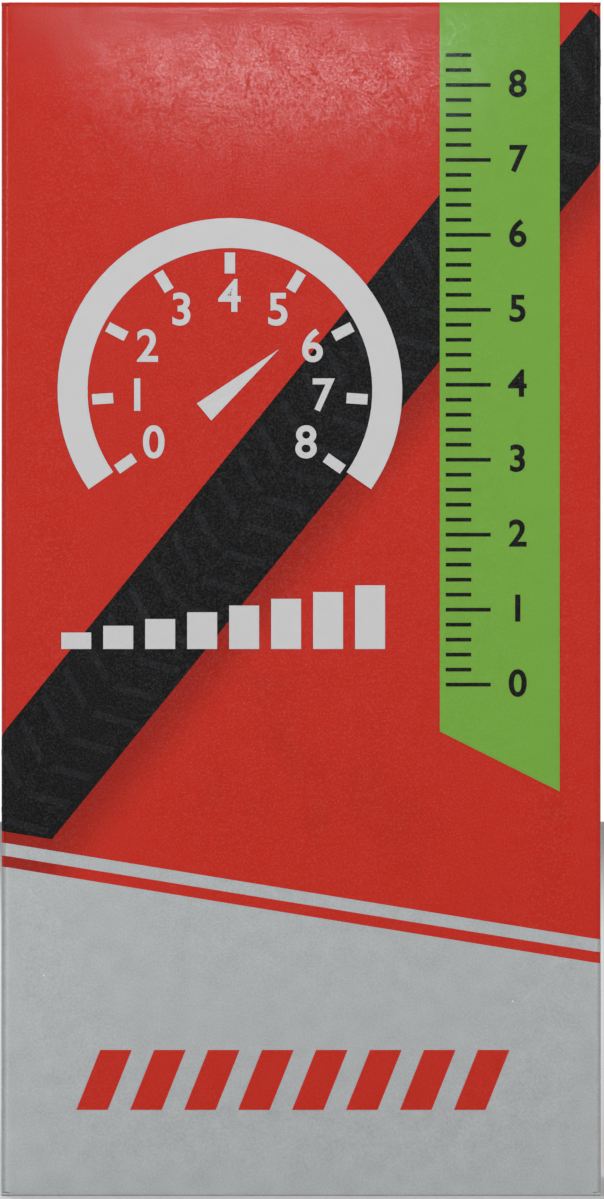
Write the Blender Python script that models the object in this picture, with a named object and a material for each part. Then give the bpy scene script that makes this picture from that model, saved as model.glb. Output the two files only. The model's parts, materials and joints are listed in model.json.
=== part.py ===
"""Boxed bicycle inner tube: a tuck-end carton round a folded tube with a car-type valve.

Units are metres. +Z is up, the printed front faces -Y, and the origin is the middle of the base.
"""

import math

import bmesh
import bpy
import numpy as np
from mathutils import Matrix, Vector

MM = 0.001

# Carton: face size from the printed front, board as used for small retail cartons
CARTON_WIDTH = 80.0 * MM
CARTON_HEIGHT = 159.3 * MM
BOARD = 0.5 * MM
CREASE_RADIUS = 0.8 * MM
GLUE_FLAP_WIDTH = 12.0 * MM
GLUE_FLAP_END_TAPER = 4.0 * MM
GAP = 0.3 * MM

# Closures at both ends
LID_SIDE_CLEARANCE = 0.3 * MM
TUCK_LENGTH = 12.0 * MM
TUCK_CORNER = 8.0 * MM
TUCK_SIDE_CLEARANCE = 0.8 * MM
TUCK_LEAN = math.radians(13.0)
DUST_FLAP_LENGTH = 32.0 * MM
DUST_FLAP_CORNER = 5.0 * MM
DUST_FLAP_FRONT_RELIEF = 1.6 * MM
DUST_FLAP_FRONT_SLANT = 0.5
DUST_FLAP_REAR_RELIEF = 4.3 * MM
DUST_FLAP_REAR_SHOULDER = 9.0 * MM
DUST_FLAP_REAR_SLANT = 0.18

# Folded tube: lay-flat width and wall of a 24 inch butyl tube
TUBE_FLAT_WIDTH = 52.0 * MM
TUBE_WALL = 0.825 * MM
INNER_LAYERS = 16
LAYER_GAP = 0.45 * MM
ARCH_SHOULDER_RADIUS = 6.0 * MM
TUBE_SHIFT = 7.0 * MM

# Rubber band round the bundle
BAND_WIDTH = 8.0 * MM
BAND_THICKNESS = 0.8 * MM
BAND_HEIGHT_UP_CARTON = 46.0 * MM
PACK_CLEARANCE = 0.7 * MM

# Valve, measured up from the underside of its rubber foot
VALVE_LENGTH = 48.0 * MM
FOOT_RADIUS = 8.8 * MM
FOOT_EDGE = 1.2 * MM
FOOT_HEIGHT = 3.2 * MM
RUBBER_RADIUS = 4.75 * MM
RUBBER_TOP_RADIUS = 4.5 * MM
RUBBER_CHAMFER = 0.6 * MM
FOOT_FLOOR = 4.0 * MM
AIR_HOLE_RADIUS = 1.5 * MM
PATCH_LENGTH = 36.0 * MM
PATCH_WIDTH = 20.0 * MM
PATCH_THICKNESS = 0.9 * MM
PATCH_SHELF = 0.86
THREAD_RADIUS = 3.85 * MM
THREAD_LENGTH = 15.5 * MM
THREAD_PITCH = 0.794 * MM
SHANK_RADIUS = 3.0 * MM
STEM_CHAMFER = 0.4 * MM
CORE_CHAMBER_RADIUS = 2.65 * MM
CORE_SEAT_RADIUS = 2.2 * MM
CORE_SEAT_CONE = 1.2 * MM

# Valve core, measured down from the end of the stem
PLUG_DROP = 1.0 * MM
PLUG_RADIUS = 2.35 * MM
PLUG_LENGTH = 4.2 * MM
PLUG_FLAT = 1.15 * MM
PLUG_FLAT_LENGTH = 2.0 * MM
PLUG_FLAT_STEP = 0.1 * MM
NECK_RADIUS = 1.65 * MM
NECK_LENGTH = 3.0 * MM
BARREL_RADIUS = 1.9 * MM
BARREL_LENGTH = 5.0 * MM
BARREL_BORE_RADIUS = 1.25 * MM
BARREL_LEDGE = 0.8 * MM
GASKET_HEIGHT = 1.8 * MM
PIN_RADIUS = 0.35 * MM
PIN_DROP = 0.5 * MM
PIN_COLLAR_RADIUS = 0.9 * MM
PIN_COLLAR_LENGTH = 0.6 * MM
PIN_COLLAR_DROP = 3.0 * MM
PIN_STROKE = 1.2 * MM
SEAL_RADIUS = 1.6 * MM
SEAL_LENGTH = 1.6 * MM
SPRING_WIRE_RADIUS = 0.15 * MM
SPRING_TURNS = 7

# Screw cap
CAP_WALL = 1.05 * MM
CAP_RIB = 0.3 * MM
CAP_RIBS = 18
CAP_TOP_WALL = 1.5 * MM
CAP_SKIRT = 9.0 * MM
CAP_EDGE = 0.7 * MM
CAP_SEAL_THICKNESS = 0.8 * MM
CAP_TURNS = 5

# Facets
ROUND_SIDES = 28
FOLD_STEPS = 6
NOSE_STEPS = 4
CREASE_STEPS = 4
CORNER_STEPS = 4
FLAP_ARC = math.radians(80)
SPRING_SIDES = 10

# Sizes that follow from the ones above
TUBE_THICKNESS = 2 * TUBE_WALL
LAYER_PITCH = TUBE_THICKNESS + LAYER_GAP
LAYERS = INNER_LAYERS + 2
BUNDLE_HALF_DEPTH = (LAYERS - 1) / 2 * LAYER_PITCH + TUBE_THICKNESS / 2
FRONT_ROOM = BOARD + PACK_CLEARANCE + BAND_THICKNESS + GAP
TUCK_REACH = TUCK_LENGTH * math.sin(TUCK_LEAN) + BOARD / 2 * math.cos(TUCK_LEAN)
REAR_ROOM = 1.5 * BOARD + GAP + TUCK_REACH + GAP
CARTON_DEPTH = FRONT_ROOM + 2 * BUNDLE_HALF_DEPTH + REAR_ROOM
BUNDLE_Y = FRONT_ROOM + BUNDLE_HALF_DEPTH - CARTON_DEPTH / 2
FLAP_STACK = 2 * BOARD + GAP
CONTENTS_FLOOR = FLAP_STACK + GAP
CAP_TRAVEL = CAP_TURNS * THREAD_PITCH
CAP_TOP_Z = CARTON_HEIGHT - FLAP_STACK - TUBE_SHIFT - CAP_TRAVEL - 3 * GAP
STEM_TOP_Z = CAP_TOP_Z - CAP_TOP_WALL - CAP_SEAL_THICKNESS - 2 * GAP
FOOT_Z = STEM_TOP_Z - VALVE_LENGTH
PATCH_Z = FOOT_Z - GAP - PATCH_THICKNESS
ARCH_TOP_Z = PATCH_Z - GAP
LID_AXIS_Y = -CARTON_DEPTH / 2 + BOARD / 2
TUCK_AXIS_Y = CARTON_DEPTH / 2 - 1.5 * BOARD - GAP
CAP_BORE_RADIUS = THREAD_RADIUS + GAP


def material(name, colour, roughness, metallic=0.0):
    """A plain Principled material in linear colour."""
    made = bpy.data.materials.new(name)
    made.use_nodes = True
    shader = made.node_tree.nodes["Principled BSDF"]
    shader.inputs["Base Color"].default_value = (*colour, 1.0)
    shader.inputs["Roughness"].default_value = roughness
    shader.inputs["Metallic"].default_value = metallic
    return made


def loft(rings, ring_closed=True, path_closed=False):
    """Skin a row of equal rings of points, capping the ends of an open row."""
    bm = bmesh.new()
    rows = [[bm.verts.new(point) for point in ring] for ring in rings]
    size = len(rings[0])
    spans = size if ring_closed else size - 1
    pairs = list(zip(rows, rows[1:]))
    if path_closed:
        pairs.append((rows[-1], rows[0]))
    for near, far in pairs:
        for i in range(spans):
            j = (i + 1) % size
            bm.faces.new((near[i], near[j], far[j], far[i]))
    if not path_closed:
        bm.faces.new(rows[0])
        bm.faces.new(rows[-1])
    bmesh.ops.remove_doubles(bm, verts=bm.verts, dist=1e-7)
    bmesh.ops.recalc_face_normals(bm, faces=bm.faces)
    return bm


def turned(profile, sides=ROUND_SIDES, on_axis=False):
    """Turn a profile of (radius, height) about Z; on_axis profiles start and end at radius 0."""
    angles = [2 * math.pi * i / sides for i in range(sides)]
    rings = [[Vector((r * math.cos(a), r * math.sin(a), z)) for r, z in profile] for a in angles]
    return loft(rings, ring_closed=not on_axis, path_closed=True)


def place(name, bm, finish, origin=(0, 0, 0), turn=None):
    """Make the named object, its points relative to its own origin."""
    mesh = bpy.data.meshes.new(name)
    bm.to_mesh(mesh)
    bm.free()
    mesh.shade_smooth()
    mesh.set_sharp_from_angle(angle=math.radians(35))
    mesh.materials.append(finish)
    made = bpy.data.objects.new(name, mesh)
    bpy.context.scene.collection.objects.link(made)
    made.matrix_world = Matrix.Translation(origin) @ (turn or Matrix())
    return made


def arc(centre, radius, start, end, steps):
    """Points on an arc, angles in degrees."""
    angles = [math.radians(start + (end - start) * i / steps) for i in range(steps + 1)]
    return [(centre[0] + radius * math.cos(a), centre[1] + radius * math.sin(a)) for a in angles]


# Carton


def sleeve_stations():
    """The folded strip seen from above: point, outward normal, lower and upper end at each station."""
    half_w = CARTON_WIDTH / 2 - BOARD / 2
    half_d = CARTON_DEPTH / 2 - BOARD / 2
    seam_x = -CARTON_WIDTH / 2 + BOARD + GAP + BOARD / 2
    step = BOARD + GAP
    side, front, back = 2 * step, step, 0.0
    glue = side + GLUE_FLAP_END_TAPER
    corners = [
        ((-half_w, CARTON_DEPTH / 2), side),
        ((-half_w, -half_d), front),
        ((half_w, -half_d), side),
        ((half_w, half_d), back),
        ((seam_x, half_d), glue),
        ((seam_x, half_d - GLUE_FLAP_WIDTH), glue),
    ]
    bend = CREASE_RADIUS - BOARD / 2
    stations = []
    points = [Vector(c[0]) for c in corners]
    for i, (start, end) in enumerate(zip(points, points[1:])):
        along = (end - start).normalized()
        outward = Vector((along.y, -along.x))
        inset = corners[i][1]
        first = start if i == 0 else start + along * bend
        last = end if i == len(points) - 2 else end - along * bend
        stations.append((first, outward, inset))
        stations.append((last, outward, inset))
        if i == len(points) - 2:
            break
        turn_to = (points[i + 2] - end).normalized()
        centre = end - along * bend + turn_to * bend
        deepest = max(inset, corners[i + 1][1])
        next_out = Vector((turn_to.y, -turn_to.x))
        for k in range(1, CREASE_STEPS):
            angle = math.pi / 2 * k / CREASE_STEPS
            normal = outward * math.cos(angle) + next_out * math.sin(angle)
            stations.append((centre + normal * bend, normal, deepest))
    return stations


def make_sleeve(finish):
    rings = []
    for point, outward, inset in sleeve_stations():
        outer = point + outward * BOARD / 2
        inner = point - outward * BOARD / 2
        low, high = inset, CARTON_HEIGHT - inset
        rings.append([
            Vector((outer.x, outer.y, low)),
            Vector((outer.x, outer.y, high)),
            Vector((inner.x, inner.y, high)),
            Vector((inner.x, inner.y, low)),
        ])
    place("carton_sleeve", loft(rings), finish)


def board_flap(length, edge_low, edge_high, corner):
    """A board flap along +X from a rounded nose on its hinge line, which runs along Y.

    edge_low and edge_high give the two side edges at a distance from the hinge; corner rounds the tip.
    """
    half = BOARD / 2
    rows = []
    for k in range(NOSE_STEPS):
        angle = FLAP_ARC * (1 - k / NOSE_STEPS)
        rows.append((-half * math.sin(angle), half * math.cos(angle), 0.0))
    distances = [0.0, DUST_FLAP_REAR_SHOULDER, DUST_FLAP_REAR_SHOULDER + DUST_FLAP_CORNER]
    rows += [(s, half, 0.0) for s in distances if s < length - corner]
    for k in range(CORNER_STEPS + 1 if corner else 1):
        angle = FLAP_ARC * k / CORNER_STEPS
        rows.append((length - corner + corner * math.sin(angle), half, corner * (1 - math.cos(angle))))
    if corner:
        rows.append((length, half, corner * (1 - math.cos(FLAP_ARC))))
    rings = []
    for s, thick, pull in rows:
        low = edge_low(max(s, 0.0)) + pull
        high = edge_high(max(s, 0.0)) - pull
        rings.append([
            Vector((s, low, thick)),
            Vector((s, high, thick)),
            Vector((s, high, -thick)),
            Vector((s, low, -thick)),
        ])
    return loft(rings)


def frame_from(along, hinge):
    """A turn that lays a flap's +X on along and its +Y on hinge."""
    x_axis = Vector(along).normalized()
    y_axis = Vector(hinge).normalized()
    z_axis = x_axis.cross(y_axis)
    return Matrix((x_axis, y_axis, z_axis)).transposed().to_4x4()


def make_closure(end, up, finish):
    """Lid, tuck and two dust flaps at one end; up is +1 at the top and -1 at the base."""
    end_z = CARTON_HEIGHT if up > 0 else 0.0
    lid_z = end_z - up * BOARD / 2
    lid_half = CARTON_WIDTH / 2 - LID_SIDE_CLEARANCE
    lid_length = TUCK_AXIS_Y - BOARD / 2 - GAP - LID_AXIS_Y
    lid = board_flap(lid_length, lambda s: -lid_half, lambda s: lid_half, 0.0)
    place(f"{end}_lid", lid, finish, (0, LID_AXIS_Y, lid_z), frame_from((0, 1, 0), (-1, 0, 0)))

    tuck_half = CARTON_WIDTH / 2 - BOARD - TUCK_SIDE_CLEARANCE
    tuck = board_flap(TUCK_LENGTH, lambda s: -tuck_half, lambda s: tuck_half, TUCK_CORNER)
    lean = (0, -math.sin(TUCK_LEAN), -up * math.cos(TUCK_LEAN))
    place(f"{end}_tuck", tuck, finish, (0, TUCK_AXIS_Y, lid_z), frame_from(lean, (1, 0, 0)))

    flap_z = lid_z - up * (BOARD + GAP)
    for side, sign in (("left", -1), ("right", 1)):
        flap = board_flap(DUST_FLAP_LENGTH, dust_front_edge, dust_rear_edge, DUST_FLAP_CORNER)
        hinge = Vector((sign * (CARTON_WIDTH / 2 - BOARD / 2), LID_AXIS_Y, flap_z))
        turn = frame_from((-sign, 0, 0), (0, 1, 0))
        place(f"{end}_dust_flap_{side}", flap, finish, hinge, turn)


def dust_front_edge(s):
    """The edge beside the lid's hinge slants away so that the lid lifts clear of it."""
    return DUST_FLAP_FRONT_RELIEF + DUST_FLAP_FRONT_SLANT * s


def dust_rear_edge(s):
    """The edge beside the tuck: a shoulder square to the hinge, then a taper to the tip."""
    back = TUCK_AXIS_Y - LID_AXIS_Y - DUST_FLAP_REAR_RELIEF
    return back - DUST_FLAP_REAR_SLANT * max(0.0, s - DUST_FLAP_REAR_SHOULDER)


# Folded tube


def tube_path():
    """Middle line of the flat tube in (y, z): over the top as an arch, then to and fro inside it."""
    ys = [BUNDLE_Y + (k - (LAYERS - 1) / 2) * LAYER_PITCH for k in range(LAYERS)]
    fold = LAYER_PITCH / 2
    top = ARCH_TOP_Z - TUBE_THICKNESS / 2
    shoulder_z = top - ARCH_SHOULDER_RADIUS
    low_z = CONTENTS_FLOOR + TUBE_THICKNESS / 2 + fold
    high_z = shoulder_z - fold
    path = arc((ys[0] + ARCH_SHOULDER_RADIUS, shoulder_z), ARCH_SHOULDER_RADIUS, 180, 90, FOLD_STEPS)
    path += arc((ys[-1] - ARCH_SHOULDER_RADIUS, shoulder_z), ARCH_SHOULDER_RADIUS, 90, 0, FOLD_STEPS)
    for turn in range(LAYERS - 1):
        middle = (ys[LAYERS - 1 - turn] + ys[LAYERS - 2 - turn]) / 2
        if turn % 2 == 0:
            path += arc((middle, low_z), fold, 0, -180, FOLD_STEPS)
        else:
            path += arc((middle, high_z), fold, 0, 180, FOLD_STEPS)
    return [Vector(point) for point in path]


def print_tube_measures(path):
    """Print the tube's length and its least gap to itself, measured on points along the path."""
    step = LAYER_PITCH / 8
    dense = []
    for a, b in zip(path, path[1:] + path[:1]):
        count = max(1, round((b - a).length / step))
        dense += [tuple(a + (b - a) * k / count) for k in range(count)]
    points = np.array(dense)
    spans = np.linalg.norm(np.roll(points, -1, axis=0) - points, axis=1)
    along = np.concatenate(([0.0], np.cumsum(spans)[:-1]))
    length = spans.sum()
    apart = np.abs(along[:, None] - along[None, :])
    apart = np.minimum(apart, length - apart)
    far = np.linalg.norm(points[:, None] - points[None, :], axis=2)
    far[apart < math.pi * LAYER_PITCH / 2] = np.inf
    print(f"tube length {length:.3f} m, least gap to itself {(far.min() - TUBE_THICKNESS) * 1000:.2f} mm")


def make_tube(finish):
    path = tube_path()
    print_tube_measures(path)
    round_edge = TUBE_THICKNESS / 2
    half_flat = TUBE_FLAT_WIDTH / 2 - round_edge
    section = arc((half_flat, 0), round_edge, -90, 90, 4) + arc((-half_flat, 0), round_edge, 90, 270, 4)
    rings = []
    for i, point in enumerate(path):
        before = (point - path[i - 1]).normalized()
        after = (path[(i + 1) % len(path)] - point).normalized()
        along = (before + after).normalized()
        out = Vector((-along.y, along.x))
        rings.append([Vector((x, point.x + out.x * n, point.y + out.y * n)) for x, n in section])
    place("tube_body", loft(rings, path_closed=True), finish)


def make_band(finish):
    """An elastic band round the waist of the bundle, with corners drawn round its edges."""
    corner = TUBE_THICKNESS / 2 + GAP
    half_x = TUBE_FLAT_WIDTH / 2 + GAP
    half_y = BUNDLE_HALF_DEPTH + GAP
    rings = []
    for i, (sx, sy) in enumerate(((1, 1), (-1, 1), (-1, -1), (1, -1))):
        centre = (sx * (half_x - corner), sy * (half_y - corner))
        inner = arc(centre, corner, 90 * i, 90 * i + 90, 4)
        outer = arc(centre, corner + BAND_THICKNESS, 90 * i, 90 * i + 90, 4)
        low = BAND_HEIGHT_UP_CARTON - BAND_WIDTH / 2
        high = BAND_HEIGHT_UP_CARTON + BAND_WIDTH / 2
        for a, b in zip(inner, outer):
            rings.append([Vector((*a, low)), Vector((*b, low)), Vector((*b, high)), Vector((*a, high))])
    place("rubber_band", loft(rings, path_closed=True), finish, (0, BUNDLE_Y, 0))


# Valve


def make_patch(finish):
    """The oval reinforcement under the valve foot, feathered at its rim and pierced for the air."""
    rings = []
    edge = PATCH_THICKNESS / 3
    for i in range(ROUND_SIDES):
        angle = 2 * math.pi * i / ROUND_SIDES
        ray = Vector((math.cos(angle), math.sin(angle), 0))
        rim = Vector((ray.x * PATCH_LENGTH / 2, ray.y * PATCH_WIDTH / 2, 0))
        shelf = rim * PATCH_SHELF
        hole = ray * AIR_HOLE_RADIUS
        lift = Vector((0, 0, PATCH_THICKNESS))
        rings.append([hole, rim, rim + Vector((0, 0, edge)), shelf + lift, hole + lift])
    place("valve_patch", loft(rings, path_closed=True), finish, (0, BUNDLE_Y, PATCH_Z))


def make_valve_rubber(finish):
    """Moulded foot and sleeve, bored for the brass stem."""
    top = VALVE_LENGTH - THREAD_LENGTH - GAP
    bore = SHANK_RADIUS + GAP
    fillet_centre = (RUBBER_RADIUS + FOOT_HEIGHT, 2 * FOOT_HEIGHT - FOOT_EDGE)
    fillet = arc(fillet_centre, FOOT_HEIGHT, 250, 180, 4)
    profile = [
        (AIR_HOLE_RADIUS, 0),
        (FOOT_RADIUS, 0),
        (FOOT_RADIUS, FOOT_EDGE),
        *fillet,
        (RUBBER_TOP_RADIUS, top - RUBBER_CHAMFER),
        (RUBBER_TOP_RADIUS - RUBBER_CHAMFER, top),
        (bore, top),
        (bore, FOOT_FLOOR - GAP),
        (AIR_HOLE_RADIUS, FOOT_FLOOR - GAP),
    ]
    place("valve_rubber", turned(profile), finish, (0, BUNDLE_Y, FOOT_Z))


def make_stem(finish):
    """Brass stem: a shank in the rubber, a wider threaded end, and a stepped bore for the core."""
    shoulder = VALVE_LENGTH - THREAD_LENGTH
    seat = VALVE_LENGTH - PLUG_DROP - PLUG_LENGTH - NECK_LENGTH
    profile = [
        (AIR_HOLE_RADIUS, FOOT_FLOOR),
        (SHANK_RADIUS, FOOT_FLOOR),
        (SHANK_RADIUS, shoulder),
        (THREAD_RADIUS, shoulder),
        (THREAD_RADIUS, VALVE_LENGTH - STEM_CHAMFER),
        (THREAD_RADIUS - STEM_CHAMFER, VALVE_LENGTH),
        (CORE_CHAMBER_RADIUS, VALVE_LENGTH),
        (CORE_CHAMBER_RADIUS, seat + CORE_SEAT_CONE),
        (CORE_SEAT_RADIUS, seat),
        (CORE_SEAT_RADIUS, seat - BARREL_LENGTH - SEAL_LENGTH - PIN_STROKE - 3 * GAP),
        (AIR_HOLE_RADIUS, seat - BARREL_LENGTH - SEAL_LENGTH - PIN_STROKE - 4 * GAP),
    ]
    place("valve_stem", turned(profile), finish, (0, BUNDLE_Y, FOOT_Z))


def make_core(brass, plastic, rubber, steel):
    """Valve core: screwed plug and barrel, gasket, sprung pin and its seal."""
    neck_z = -PLUG_DROP - PLUG_LENGTH
    barrel_z = neck_z - NECK_LENGTH
    end_z = barrel_z - BARREL_LENGTH
    barrel = turned([
        (PIN_RADIUS + GAP, end_z),
        (BARREL_RADIUS, end_z),
        (BARREL_RADIUS, barrel_z),
        (NECK_RADIUS, barrel_z + BARREL_RADIUS - NECK_RADIUS),
        (NECK_RADIUS, neck_z),
        (PLUG_RADIUS, neck_z),
        (PLUG_RADIUS, -PLUG_DROP - PLUG_FLAT_LENGTH),
        (PLUG_RADIUS, -PLUG_DROP - PLUG_FLAT_LENGTH + PLUG_FLAT_STEP),
        (PLUG_RADIUS, -PLUG_DROP),
        (BARREL_BORE_RADIUS, -PLUG_DROP),
        (BARREL_BORE_RADIUS, end_z + BARREL_LEDGE),
        (PIN_RADIUS + GAP, end_z + BARREL_LEDGE),
    ])
    cut_key_flats(barrel)
    place("core_barrel", barrel, brass, (0, BUNDLE_Y, STEM_TOP_Z))

    gasket_low = barrel_z + BARREL_RADIUS - NECK_RADIUS + GAP
    gasket_radius = NECK_RADIUS + GAP
    gasket = turned([
        (gasket_radius, gasket_low),
        (CORE_SEAT_RADIUS - GAP / 2, gasket_low),
        (CORE_CHAMBER_RADIUS - GAP, gasket_low + GASKET_HEIGHT),
        (gasket_radius, gasket_low + GASKET_HEIGHT),
    ])
    place("core_gasket", gasket, plastic, (0, BUNDLE_Y, STEM_TOP_Z))

    collar_low = -PIN_COLLAR_DROP - PIN_COLLAR_LENGTH
    pin = turned([
        (0, end_z - SEAL_LENGTH - 2 * GAP),
        (PIN_RADIUS, end_z - SEAL_LENGTH - 2 * GAP),
        (PIN_RADIUS, collar_low),
        (PIN_COLLAR_RADIUS, collar_low),
        (PIN_COLLAR_RADIUS, -PIN_COLLAR_DROP),
        (PIN_RADIUS, -PIN_COLLAR_DROP),
        (PIN_RADIUS, -PIN_DROP),
        (0, -PIN_DROP),
    ], sides=16, on_axis=True)
    place("core_pin", pin, steel, (0, BUNDLE_Y, STEM_TOP_Z))

    seal = turned([
        (PIN_RADIUS + GAP, end_z - GAP - SEAL_LENGTH),
        (SEAL_RADIUS - GAP, end_z - GAP - SEAL_LENGTH),
        (SEAL_RADIUS, end_z - GAP),
        (PIN_RADIUS + GAP, end_z - GAP),
    ])
    place("core_seal", seal, rubber, (0, BUNDLE_Y, STEM_TOP_Z))
    make_core_spring(end_z + BARREL_LEDGE + GAP, collar_low - GAP, steel)


def cut_key_flats(bm):
    """Press the plug's outer rim in to two flats, for the key that unscrews the core."""
    for vert in bm.verts:
        on_rim = math.hypot(vert.co.x, vert.co.y) > PLUG_RADIUS - GAP / 2
        if on_rim and vert.co.z > -PLUG_DROP - PLUG_FLAT_LENGTH + PLUG_FLAT_STEP / 2:
            flat = max(PLUG_FLAT, BARREL_BORE_RADIUS + GAP)
            vert.co.y = max(-flat, min(flat, vert.co.y))


def make_core_spring(low, high, finish):
    """One unbroken wire, wound round the pin between the barrel's ledge and the pin's collar."""
    mean = (PIN_RADIUS + BARREL_BORE_RADIUS) / 2
    rise = high - low - 2 * SPRING_WIRE_RADIUS
    count = SPRING_TURNS * SPRING_SIDES
    print(f"core spring, least gap between turns {(rise / SPRING_TURNS - 2 * SPRING_WIRE_RADIUS) * 1000:.2f} mm")
    rings = []
    for i in range(count + 1):
        angle = 2 * math.pi * i / SPRING_SIDES
        ray = Vector((math.cos(angle), math.sin(angle), 0))
        centre = ray * mean + Vector((0, 0, low + SPRING_WIRE_RADIUS + rise * i / count))
        wire = arc((0, 0), SPRING_WIRE_RADIUS, 0, 300, 5)
        rings.append([centre + ray * a + Vector((0, 0, b)) for a, b in wire])
    place("core_spring", loft(rings), finish, (0, BUNDLE_Y, STEM_TOP_Z))


def make_cap(plastic, rubber):
    """Screw cap with finger ribs, and the sealing disc under its top."""
    ceiling = CAP_SEAL_THICKNESS + 2 * GAP
    top = ceiling + CAP_TOP_WALL
    skirt = -CAP_SKIRT
    rings = []
    for i in range(2 * CAP_RIBS):
        angle = math.pi * i / CAP_RIBS
        outer = CAP_BORE_RADIUS + CAP_WALL + (CAP_RIB if i % 2 else 0.0)
        plain = CAP_BORE_RADIUS + CAP_WALL
        profile = [
            (0, ceiling),
            (CAP_BORE_RADIUS, ceiling),
            (CAP_BORE_RADIUS, skirt),
            (plain, skirt),
            (plain, skirt + CAP_EDGE),
            (outer, skirt + 2 * CAP_EDGE),
            (outer, top - 2 * CAP_EDGE),
            (plain, top - CAP_EDGE),
            (plain - CAP_EDGE, top),
            (0, top),
        ]
        rings.append([Vector((r * math.cos(angle), r * math.sin(angle), z)) for r, z in profile])
    place("valve_cap", loft(rings, ring_closed=False, path_closed=True), plastic, (0, BUNDLE_Y, STEM_TOP_Z))

    disc = turned([
        (0, GAP),
        (THREAD_RADIUS, GAP),
        (THREAD_RADIUS, GAP + CAP_SEAL_THICKNESS),
        (0, GAP + CAP_SEAL_THICKNESS),
    ], on_axis=True)
    place("cap_seal", disc, rubber, (0, BUNDLE_Y, STEM_TOP_Z))


def main():
    for old in list(bpy.data.objects):
        bpy.data.objects.remove(old, do_unlink=True)
    printed_board = material("printed folding boxboard", (0.515, 0.035, 0.023), 0.45)
    butyl = material("talc-dusted butyl rubber", (0.022, 0.022, 0.024), 0.75)
    latex = material("latex band", (0.46, 0.27, 0.12), 0.6)
    moulded_rubber = material("moulded valve rubber", (0.017, 0.017, 0.018), 0.6)
    brass = material("nickelled brass", (0.62, 0.58, 0.5), 0.3, 1.0)
    steel = material("spring steel", (0.5, 0.5, 0.5), 0.3, 1.0)
    gasket_plastic = material("white core gasket", (0.75, 0.74, 0.7), 0.5)
    cap_plastic = material("moulded cap plastic", (0.02, 0.02, 0.021), 0.4)
    make_sleeve(printed_board)
    make_closure("top", 1, printed_board)
    make_closure("bottom", -1, printed_board)
    make_tube(butyl)
    make_band(latex)
    make_patch(moulded_rubber)
    make_valve_rubber(moulded_rubber)
    make_stem(brass)
    make_core(brass, gasket_plastic, moulded_rubber, steel)
    make_cap(cap_plastic, moulded_rubber)


main()
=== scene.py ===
"""Looks of a boxed bicycle inner tube: printed tuck-end carton, folded tube and capped valve."""

import json
import math

import bmesh
import bpy
import numpy as np
from bpy.props import FloatProperty, FloatVectorProperty, PointerProperty
from mathutils import Matrix, Quaternion, Vector, noise


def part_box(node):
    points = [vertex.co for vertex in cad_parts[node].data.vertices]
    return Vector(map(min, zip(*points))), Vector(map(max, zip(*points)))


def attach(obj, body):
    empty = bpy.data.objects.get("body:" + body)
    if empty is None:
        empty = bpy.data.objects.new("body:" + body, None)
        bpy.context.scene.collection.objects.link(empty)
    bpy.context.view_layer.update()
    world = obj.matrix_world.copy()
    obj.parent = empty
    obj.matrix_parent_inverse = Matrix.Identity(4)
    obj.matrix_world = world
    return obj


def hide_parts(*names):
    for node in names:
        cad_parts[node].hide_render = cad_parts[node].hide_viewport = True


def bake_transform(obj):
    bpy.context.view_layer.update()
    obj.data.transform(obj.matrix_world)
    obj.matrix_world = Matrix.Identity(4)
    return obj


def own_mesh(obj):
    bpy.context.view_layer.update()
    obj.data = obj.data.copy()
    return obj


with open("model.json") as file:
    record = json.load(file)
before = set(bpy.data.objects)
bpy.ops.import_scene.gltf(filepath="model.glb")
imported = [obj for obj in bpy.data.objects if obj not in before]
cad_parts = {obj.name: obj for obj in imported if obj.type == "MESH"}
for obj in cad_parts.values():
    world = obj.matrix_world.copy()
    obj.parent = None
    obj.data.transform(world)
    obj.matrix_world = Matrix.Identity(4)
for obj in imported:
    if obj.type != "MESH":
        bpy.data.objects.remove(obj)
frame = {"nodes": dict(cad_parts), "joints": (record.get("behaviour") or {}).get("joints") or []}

bl_info = {
    "name": "Boxed inner tube",
    "version": (1, 0, 0),
    "blender": (4, 5, 0),
    "location": "View3D > Sidebar > Boxed tube",
    "description": "Dresses a tuck-end carton, the folded inner tube in it and its valve",
    "category": "Object",
}

MM = 0.001
UP = Vector((0, 0, 1))
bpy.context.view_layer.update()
JOINTS = {joint["name"]: joint for joint in frame["joints"]}

# The carton, read from the frame
SLEEVE_LOW, SLEEVE_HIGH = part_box("carton_sleeve")
WIDTH = SLEEVE_HIGH.x - SLEEVE_LOW.x
DEPTH = SLEEVE_HIGH.y - SLEEVE_LOW.y
HEIGHT = SLEEVE_HIGH.z - SLEEVE_LOW.z
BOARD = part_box("top_lid")[1].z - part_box("top_lid")[0].z
DUST_FLAP_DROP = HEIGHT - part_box("top_dust_flap_left")[0].z

# Carton details that the solids share
BOARD_GAP = 0.3 * MM
GLUE_FLAP_WIDTH = 12.0 * MM
GLUE_FLAP_END = 4.0 * MM
TUCK_LENGTH = 12.0 * MM
TUCK_CORNER = 8.0 * MM
TUCK_LEAN = math.radians(13.0)
DUST_FLAP_LENGTH = 32.0 * MM
DUST_FLAP_CORNER = 5.0 * MM
DUST_FRONT_RELIEF = 1.6 * MM
DUST_FRONT_SLANT = 0.5
DUST_REAR_RELIEF = 4.3 * MM
DUST_REAR_SHOULDER = 9.0 * MM
DUST_REAR_SLANT = 0.18

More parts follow.
